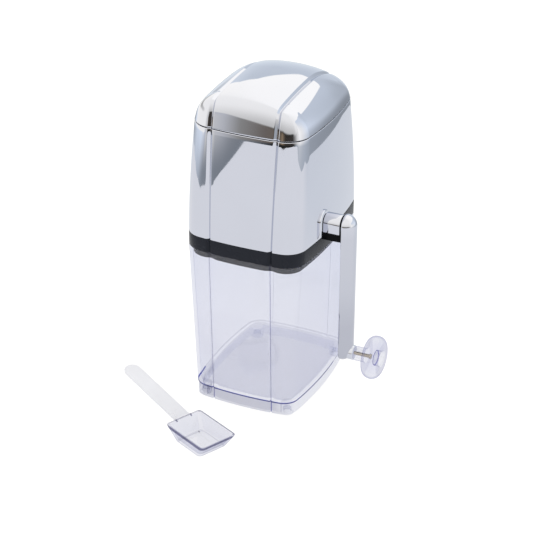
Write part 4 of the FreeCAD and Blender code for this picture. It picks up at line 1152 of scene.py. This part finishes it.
# ================================================================ scoop
def scoop():
    L, W, H, d1, d2, t = 45.0, 32.4, 12.8, 8.2, 3.4, 1.6
    hl, hw, th = 68.97, 13.3, 2.2
    s10 = math.tan(math.radians(10.0))
    cxl = L / 2 - d1
    yaw = math.radians(-26.0)

    def place(x, y, z):
        return (-18.7 + x * math.cos(yaw) - y * math.sin(yaw), -107.3 + x * math.sin(yaw) + y * math.cos(yaw), z)

    def rr(lx, ly, rc, z, n=7):
        """Ring of a rounded rectangle, with extra points along its sides."""
        out = []
        hx, hy = lx / 2, ly / 2
        rc = min(rc, hx - 0.2, hy - 0.2)
        cs = [(hx - rc, -hy + rc, -90), (hx - rc, hy - rc, 0), (-hx + rc, hy - rc, 90), (-hx + rc, -hy + rc, 180)]
        for i, (cx, cy, a0) in enumerate(cs):
            for k in range(n + 1):
                a = math.radians(a0 + 90.0 * k / n)
                out.append((cx + rc * math.cos(a), cy + rc * math.sin(a)))
            nx, ny, na = cs[(i + 1) % 4]
            q0 = out[-1]
            a = math.radians(na)
            q1 = (nx + rc * math.cos(a), ny + rc * math.sin(a))
            for k in range(1, 6):
                y = (0, 7.2, 6.1, 0.0, -6.1, -7.2)[k] if i == 2 else q0[1] + (q1[1] - q0[1]) * k / 6
                out.append((q0[0] + (q1[0] - q0[0]) * k / 6, y))
        return [place(cxl + x, y, z) for x, y in out]

    M = Mesh()
    path = fillet([(5.0, 0.0, 0), (0.0, 0.0, 1.6), (0.0, H - 3.0, 0), (0.0, H, 0.7), (t, H, 0.7), (t, H - 1.3, 0), (t, t, 1.1), (6.0, t, 0)], seg=5)
    rings = []
    for e, z in path:
        f = max(0.0, 1 - z / H)
        rc = 3.1 + 0.4 * f - min(e, t) * 0.5
        rings.append(rr(L - 2 * d1 * f - 2 * e, W - 2 * d2 * f - 2 * e, max(rc, 0.8), z))
    M.loft(rings, cap0=True, cap1=True)
    ob = M.build("scoop_bowl_clear", "scoop", SCOOP_CLEAR, replaces=("scoop",), angle=32)
    mark = ob.data.attributes.new("painted_edge_line", "FLOAT", "FACE")
    # painted dark lines where the light is bent aside: the rim's outer and near faces, the handle notch, the rim top
    # most at the far side, and a faint painted tint on flat faces
    for q in ob.data.polygons:
        z = q.center.z / MM
        rim = z > H - 3.05
        dx, dy = q.center.x / MM + 18.7, q.center.y / MM + 107.3
        lx, ly = dx * math.cos(yaw) + dy * math.sin(yaw), dy * math.cos(yaw) - dx * math.sin(yaw)
        out = (q.center.x / MM + 13.0) * q.normal.x + (q.center.y / MM + 110.0) * q.normal.y > 0
        near = q.normal.y < -0.3 or (q.normal.x > 0.7 and q.normal.y < 0.0)
        if z > H - 1.0 and lx < 3 - d1 and 6.05 < abs(ly) < 7.25:
            mark.data[q.index].value = 1.0
        elif rim and out and near and q.normal.z < 0.9:
            mark.data[q.index].value = 1.0
        elif rim and out and 0.3 < q.normal.z < 0.8:
            mark.data[q.index].value = 1.0
        elif rim and q.normal.z >= 0.85:
            far = dy * math.cos(yaw) - dx * math.sin(yaw) > W / 2 - 2.6
            mark.data[q.index].value = 0.9 if far else 0.4 if lx < 3 - d1 else 0.15
        else:
            mark.data[q.index].value = 0.10 if abs(q.normal.z) > 0.9 else 0.0
    # handle: flat strip with a round end, rising from the bowl's rim
    M = Mesh()
    x_h0 = -d1 - 0.02
    poly = [(x_h0, hw / 2), ]
    xe = x_h0 - hl + hw / 2
    ns = 14
    poly = [(x_h0 + (xe - x_h0) * k / ns, hw / 2) for k in range(ns + 1)]
    poly += [(xe - hw / 2 * math.sin(math.pi * k / 24), hw / 2 * math.cos(math.pi * k / 24)) for k in range(1, 24)]
    poly += [(xe + (x_h0 - xe) * k / ns, -hw / 2) for k in range(ns + 1)]

    def hplace(u, v, a):
        z = H - th + (x_h0 - u) * s10 + a
        return place(u, v, z)
    plate(M, poly, 0.0, th, hplace, r=0.45, seg=4)
    M.build("scoop_handle_frosted", "scoop", SCOOP_FROST, angle=32)


bucket()
feet()
base_ring()
housing()
lid()
escutcheon()
bearing()
crank_arm()
knob_parts()
for name in ("crank_escutcheon_chrome", "bearing_block_black", "bearing_cover_chrome", "crank_arm_chrome",
             "knob_collar_chrome", "knob_spindle_metal", "knob_clear"):
    bpy.data.objects[name].visible_glossy = False
for name in ("crank_shaft", "bush_right"):
    NODES[name].visible_glossy = False
scoop()

for name, mat in (("hinge_pin", STEEL), ("ice_hopper", INNER), ("breaker_comb", STEEL), ("comb_screws", STEEL), ("hopper_screws", STEEL),
                  ("shell_screws", STEEL), ("bush_left", BUSH), ("bush_right", BUSH), ("crank_shaft", STEEL), ("shaft_clip", STEEL),
                  ("rotor_blades", STEEL), ("rotor_spacers", BUSH)):
    ob = NODES[name]
    if not ob.material_slots:
        ob.data.materials.append(mat)
    for s in ob.material_slots:
        s.material = mat

# ================================================================ floor and light
def stage_mesh(name, verts, faces, mat):
    me = bpy.data.meshes.new(name)
    me.from_pydata([tuple(c * MM for c in p) for p in verts], [], faces)
    ob = bpy.data.objects.new(name, me)
    bpy.context.scene.collection.objects.link(ob)
    me.materials.append(mat)
    return ob


def paper_mat(name, c0, c1, glow, back=(1.0, 1.0, 1.0)):
    m, nt, b, out = new_mat(name)
    v = coords(nt)
    n = noise(nt, v, 3.0, 2.0)
    nt.links.new(ramp(nt, n, [(0.3, c4(*c0)), (0.7, c4(*c1))]), b.inputs["Base Color"])
    b.inputs["Roughness"].default_value = 0.9
    b.inputs["Specular IOR Level"].default_value = 0.05
    # paler in front, a little cooler and dimmer towards the back
    tcn = nt.nodes.new("ShaderNodeTexCoord")
    sp = nt.nodes.new("ShaderNodeSeparateXYZ")
    nt.links.new(tcn.outputs["Object"], sp.inputs[0])
    mr = nt.nodes.new("ShaderNodeMapRange")
    nt.links.new(sp.outputs[1], mr.inputs["Value"])
    mr.inputs["From Min"].default_value = 0.04
    mr.inputs["From Max"].default_value = 0.26
    nt.links.new(ramp(nt, mr.outputs["Result"], [(0.0, c4(1.0, 1.0, 1.0)), (1.0, c4(*back))]), b.inputs["Emission Color"])
    b.inputs["Emission Strength"].default_value = glow
    return m


# the sheet of paper that the object stands on, as the chrome mirrors it
PAPER = [(-400, -1100), (-360, -640), (-345, -555), (-390, -480), (-530, -360), (-640, -130), (-630, 90), (-490, 290),
         (-150, 560), (170, 620), (300, 490), (400, 390), (700, 140), (745, -75), (900, -360), (1340, -700), (1340, -1250), (400, -1300)]
paper = stage_mesh("paper", [(x, y, 0.05) for x, y in PAPER], [tuple(range(len(PAPER)))],
                   paper_mat("paper_sheet", (0.145, 0.145, 0.147), (0.155, 0.155, 0.157), 0.82, back=(0.84, 0.875, 0.91)))
paper.visible_camera = False
paper.visible_diffuse = False
paper.visible_shadow = False
# the table round it, pale and even
far = 6000
floor = stage_mesh("floor", [(-far, -far, 0), (far, -far, 0), (far, far, 0), (-far, far, 0)], [(0, 1, 2, 3)],
                   paper_mat("floor_pale", (0.19, 0.19, 0.192), (0.20, 0.20, 0.202), 0.88))
floor.visible_glossy = False
# a pale surround, for the low views
dome_v, dome_f = [], []
for i in range(13):
    e = math.radians(-5 + 95 * i / 12)
    dome_v += [(8000 * math.cos(e) * math.cos(2 * math.pi * k / 48), 8000 * math.cos(e) * math.sin(2 * math.pi * k / 48), 8000 * math.sin(e)) for k in range(48)]
for i in range(12):
    for k in range(48):
        dome_f.append((i * 48 + k, (i + 1) * 48 + k, (i + 1) * 48 + (k + 1) % 48, i * 48 + (k + 1) % 48))
surround = stage_mesh("surround", dome_v, dome_f, paper_mat("surround_pale", (0.02, 0.02, 0.02), (0.03, 0.03, 0.03), 1.0))
surround.visible_glossy = False
surround.visible_diffuse = False
surround.visible_shadow = False

# a soft box overhead and grey studio walls: azimuth runs from the front (0) to the right (90)
world = bpy.data.worlds.new("studio")
bpy.context.scene.world = world
world.use_nodes = True
wn = world.node_tree
wn.nodes.clear()


def wnode(kind, op=None, *ins):
    n = wn.nodes.new(kind)
    if op:
        n.operation = op
    for i, v in enumerate(ins):
        if v is None:
            continue
        if hasattr(v, "is_output"):
            wn.links.new(v, n.inputs[i])
        else:
            n.inputs[i].default_value = v
    return n


def az_ramp(u, stops):
    """stops: (azimuth -180..180, value or colour)"""
    r = wn.nodes.new("ShaderNodeValToRGB")
    el = r.color_ramp.elements
    pts = []
    for az, c in stops:
        c = (c, c, c) if not isinstance(c, tuple) else c
        pts.append(((az + 180) / 360, (*c, 1.0)))
    el[0].position, el[0].color = pts[0]
    el[1].position, el[1].color = pts[-1]
    for p, c in pts[1:-1]:
        e = el.new(p)
        e.color = c
    wn.links.new(u, r.inputs["Fac"])
    return r.outputs["Color"]


def smooth_step(v, lo, hi):
    r = wn.nodes.new("ShaderNodeMapRange")
    r.interpolation_type = "SMOOTHSTEP"
    for k, x in (("Value", v), ("From Min", lo), ("From Max", hi)):
        if hasattr(x, "is_output"):
            wn.links.new(x, r.inputs[k])
        else:
            r.inputs[k].default_value = x
    return r.outputs["Result"]


def mixc(f, a, b):
    m = wn.nodes.new("ShaderNodeMix")
    m.data_type = "RGBA"
    wn.links.new(f, m.inputs[0])
    for i, v in ((6, a), (7, b)):
        if hasattr(v, "is_output"):
            wn.links.new(v, m.inputs[i])
        else:
            m.inputs[i].default_value = (*v, 1.0)
    return m.outputs[2]


tc = wn.nodes.new("ShaderNodeTexCoord")
sep = wn.nodes.new("ShaderNodeSeparateXYZ")
wn.links.new(tc.outputs["Generated"], sep.inputs[0])
ny = wnode("ShaderNodeMath", "MULTIPLY", sep.outputs[1], -1.0).outputs[0]
azr = wnode("ShaderNodeMath", "ARCTAN2", sep.outputs[0], ny).outputs[0]
U = wnode("ShaderNodeMath", "MULTIPLY_ADD", azr, 1 / (2 * math.pi), 0.5).outputs[0]
EL = wnode("ShaderNodeMath", "MULTIPLY", wnode("ShaderNodeMath", "ARCSINE", sep.outputs[2]).outputs[0], 2 / math.pi).outputs[0]   # 1 is straight up


def angle_ramp(stops):
    """An elevation in degrees that depends on the azimuth, as EL units."""
    c = az_ramp(U, [(az, (v + 30) / 90) for az, v in stops])
    return wnode("ShaderNodeMath", "SUBTRACT", c, 30 / 90).outputs[0]


def tint(v, t):
    return tuple(v * c for c in t)


BOX_T, WALL_T = (1.0, 0.97, 0.89), (0.93, 1.0, 1.06)
# lower edge of the soft box: down to the window sill on the left, to the horizon in front, above a wall at the right and behind
edge = angle_ramp([(-180, 31), (-160, 29.5), (-150, 28), (-145, 22), (-141, 6), (-138, -13), (-48, -13), (-43, -11), (-40, -2), (-36, 2.8), (-30, 2.8), (-24, 1.9), (-17, 1.4), (-8, 1.6), (0, 2.1), (48, 2.1),
                   (58, 1.5), (66, 3), (80, 26), (92, 31), (110, 33), (138, 33), (150, 29.5), (166, 28.5), (180, 31)])
mask = smooth_step(EL, wnode("ShaderNodeMath", "SUBTRACT", edge, 0.0045).outputs[0], wnode("ShaderNodeMath", "ADD", edge, 0.0045).outputs[0])
box = az_ramp(U, [(-180, tint(1.50, BOX_T)), (-150, tint(1.47, BOX_T)), (-135, tint(1.34, BOX_T)), (0, tint(1.30, BOX_T)), (60, tint(1.30, BOX_T)),
                  (110, tint(1.44, BOX_T)), (150, tint(1.53, BOX_T)), (180, tint(1.52, BOX_T))])
# it fades towards the horizon in front
amp = az_ramp(U, [(-180, 0.0), (-46, 0.0), (-36, 0.2), (-28, 0.32), (-18, 0.45), (-8, 0.5), (46, 0.5), (56, 0.42), (66, 0.1), (76, 0.0), (180, 0.0)])
fade = wnode("ShaderNodeMath", "EXPONENT", wnode("ShaderNodeMath", "MULTIPLY", EL, -8.2).outputs[0]).outputs[0]
fade = wnode("ShaderNodeMath", "SUBTRACT", 1.0, wnode("ShaderNodeMath", "MULTIPLY", amp, fade).outputs[0]).outputs[0]
box = wnode("ShaderNodeVectorMath", "SCALE", box).outputs[0].node
wn.links.new(fade, box.inputs["Scale"])
box = box.outputs[0]
# walls: just under the box, at eye height, and near the floor
wall_hi = az_ramp(U, [(-180, tint(0.86, WALL_T)), (-148, tint(0.82, WALL_T)), (-138, tint(1.1, WALL_T)), (-60, tint(1.15, WALL_T)), (-36, (0.72, 0.72, 0.73)), (-30, (0.72, 0.72, 0.73)), (-24, tint(0.36, BOX_T)), (-16, (0.22, 0.19, 0.16)), (-8, (0.03, 0.025, 0.02)),
                      (46, (0.03, 0.03, 0.025)), (56, tint(0.7, BOX_T)), (62, tint(1.05, BOX_T)), (70, tint(1.24, BOX_T)), (78, tint(1.26, BOX_T)), (86, tint(1.0, WALL_T)),
                      (130, tint(1.0, WALL_T)), (148, tint(0.88, WALL_T)), (180, tint(0.84, WALL_T))])
wall_lo = az_ramp(U, [(-180, tint(0.86, WALL_T)), (-148, tint(0.92, WALL_T)), (-120, tint(1.2, BOX_T)), (-46, tint(1.2, BOX_T)), (-36, tint(0.92, BOX_T)), (-30, (0.70, 0.70, 0.70)), (-24, tint(0.36, BOX_T)),
                      (-16, (0.21, 0.18, 0.155)), (-8, (0.20, 0.15, 0.10)), (0, (0.36, 0.26, 0.16)), (6, (0.20, 0.15, 0.10)), (14, (0.06, 0.05, 0.04)), (46, (0.06, 0.05, 0.045)), (56, tint(0.40, BOX_T)), (66, tint(1.0, BOX_T)), (78, tint(1.42, BOX_T)), (92, tint(1.28, BOX_T)),
                      (130, tint(1.15, WALL_T)), (142, tint(0.86, WALL_T)), (156, tint(0.68, WALL_T)), (172, tint(0.62, WALL_T)), (180, tint(0.80, WALL_T))])
floor_c = az_ramp(U, [(-180, tint(0.50, WALL_T)), (-130, tint(0.42, WALL_T)), (-110, tint(0.70, WALL_T)), (-88, tint(0.85, WALL_T)), (-62, tint(0.58, WALL_T)), (-44, tint(0.42, WALL_T)), (-30, tint(0.31, WALL_T)),
                      (-22, tint(0.30, WALL_T)), (-14, tint(0.06, WALL_T)), (-8, (0.03, 0.028, 0.025)), (50, (0.03, 0.028, 0.025)), (60, tint(0.5, WALL_T)), (72, tint(0.62, WALL_T)), (105, tint(0.62, WALL_T)),
                      (130, tint(0.55, WALL_T)), (146, tint(0.44, WALL_T)), (160, tint(0.38, WALL_T)), (180, tint(0.48, WALL_T))])
wall_b = angle_ramp([(-180, 2), (-48, 2), (-36, 0), (-8, 0.6), (0, 1.0), (48, 0.9), (56, 0), (66, 2), (180, 2)])
wall = mixc(smooth_step(EL, wall_b, edge), wall_lo, wall_hi)
sill_hi = angle_ramp([(-180, -13), (-36, -12), (-22, -6), (-10, -3), (52, -2.5), (62, -1), (72, 1), (180, 3)])
sill_lo = angle_ramp([(-180, -20), (-60, -19), (-40, -17), (-30, -16), (-22, -12), (-14, -7), (-8, -5), (52, -5), (62, -8), (72, -19), (130, -18), (145, -13), (165, -13), (180, -20)])
wall = mixc(smooth_step(EL, sill_lo, sill_hi), floor_c, wall)
col = mixc(mask, wall, box)
# the glazing bar across the window on the left
bar_w = angle_ramp([(-180, 0), (-146, 0), (-141, 8), (-118, 8), (-104, 6), (-92, 4), (-72, 3), (-62, 1), (-58, 0), (180, 0)])
bar_s = az_ramp(U, [(-180, 0.0), (-146, 0.0), (-138, 0.5), (-112, 0.55), (-100, 0.5), (-88, 0.42), (-70, 0.32), (-60, 0.0), (180, 0.0)])
off = wnode("ShaderNodeMath", "ABSOLUTE", wnode("ShaderNodeMath", "SUBTRACT", EL, 0.006).outputs[0]).outputs[0]
bar = wnode("ShaderNodeMath", "MULTIPLY", smooth_step(off, wnode("ShaderNodeMath", "ADD", bar_w, 0.012).outputs[0], wnode("ShaderNodeMath", "MULTIPLY", bar_w, 0.4).outputs[0]), bar_s).outputs[0]
bar = wnode("ShaderNodeMath", "SUBTRACT", 1.0, bar).outputs[0]
scaled = wnode("ShaderNodeVectorMath", "SCALE", col).outputs[0].node
wn.links.new(bar, scaled.inputs["Scale"])
col = scaled.outputs[0]
bg = wn.nodes.new("ShaderNodeBackground")
wn.links.new(col, bg.inputs["Color"])
bg.inputs["Strength"].default_value = 1.0
wo = wn.nodes.new("ShaderNodeOutputWorld")
wn.links.new(bg.outputs[0], wo.inputs[0])

# ================================================================ camera
cam_data = bpy.data.cameras.new("camera")
cam = bpy.data.objects.new("camera", cam_data)
bpy.context.scene.collection.objects.link(cam)
az, el, roll = math.radians(24.5576), math.radians(28.2447), math.radians(0.2811)
back = Vector((math.sin(az) * math.cos(el), -math.cos(az) * math.cos(el), math.sin(el)))
fwd = -back
right = Vector((math.cos(az), math.sin(az), 0.0))
up = right.cross(fwd)
r2 = right * math.cos(roll) + up * math.sin(roll)
u2 = -right * math.sin(roll) + up * math.cos(roll)
rot = Matrix((r2, u2, back)).transposed()
cam.matrix_world = Matrix.Translation(Vector((0.528456, -1.167417, 0.783648))) @ rot.to_4x4()
cam_data.sensor_width = 36.0
cam_data.sensor_fit = "HORIZONTAL"
cam_data.lens = 36.0 * 1900.0 / 533.0
cam_data.clip_start = 0.05
cam_data.clip_end = 50.0
bpy.context.scene.camera = cam
bpy.context.scene.view_settings.view_transform = "Standard"
bpy.context.scene.view_settings.look = "None"
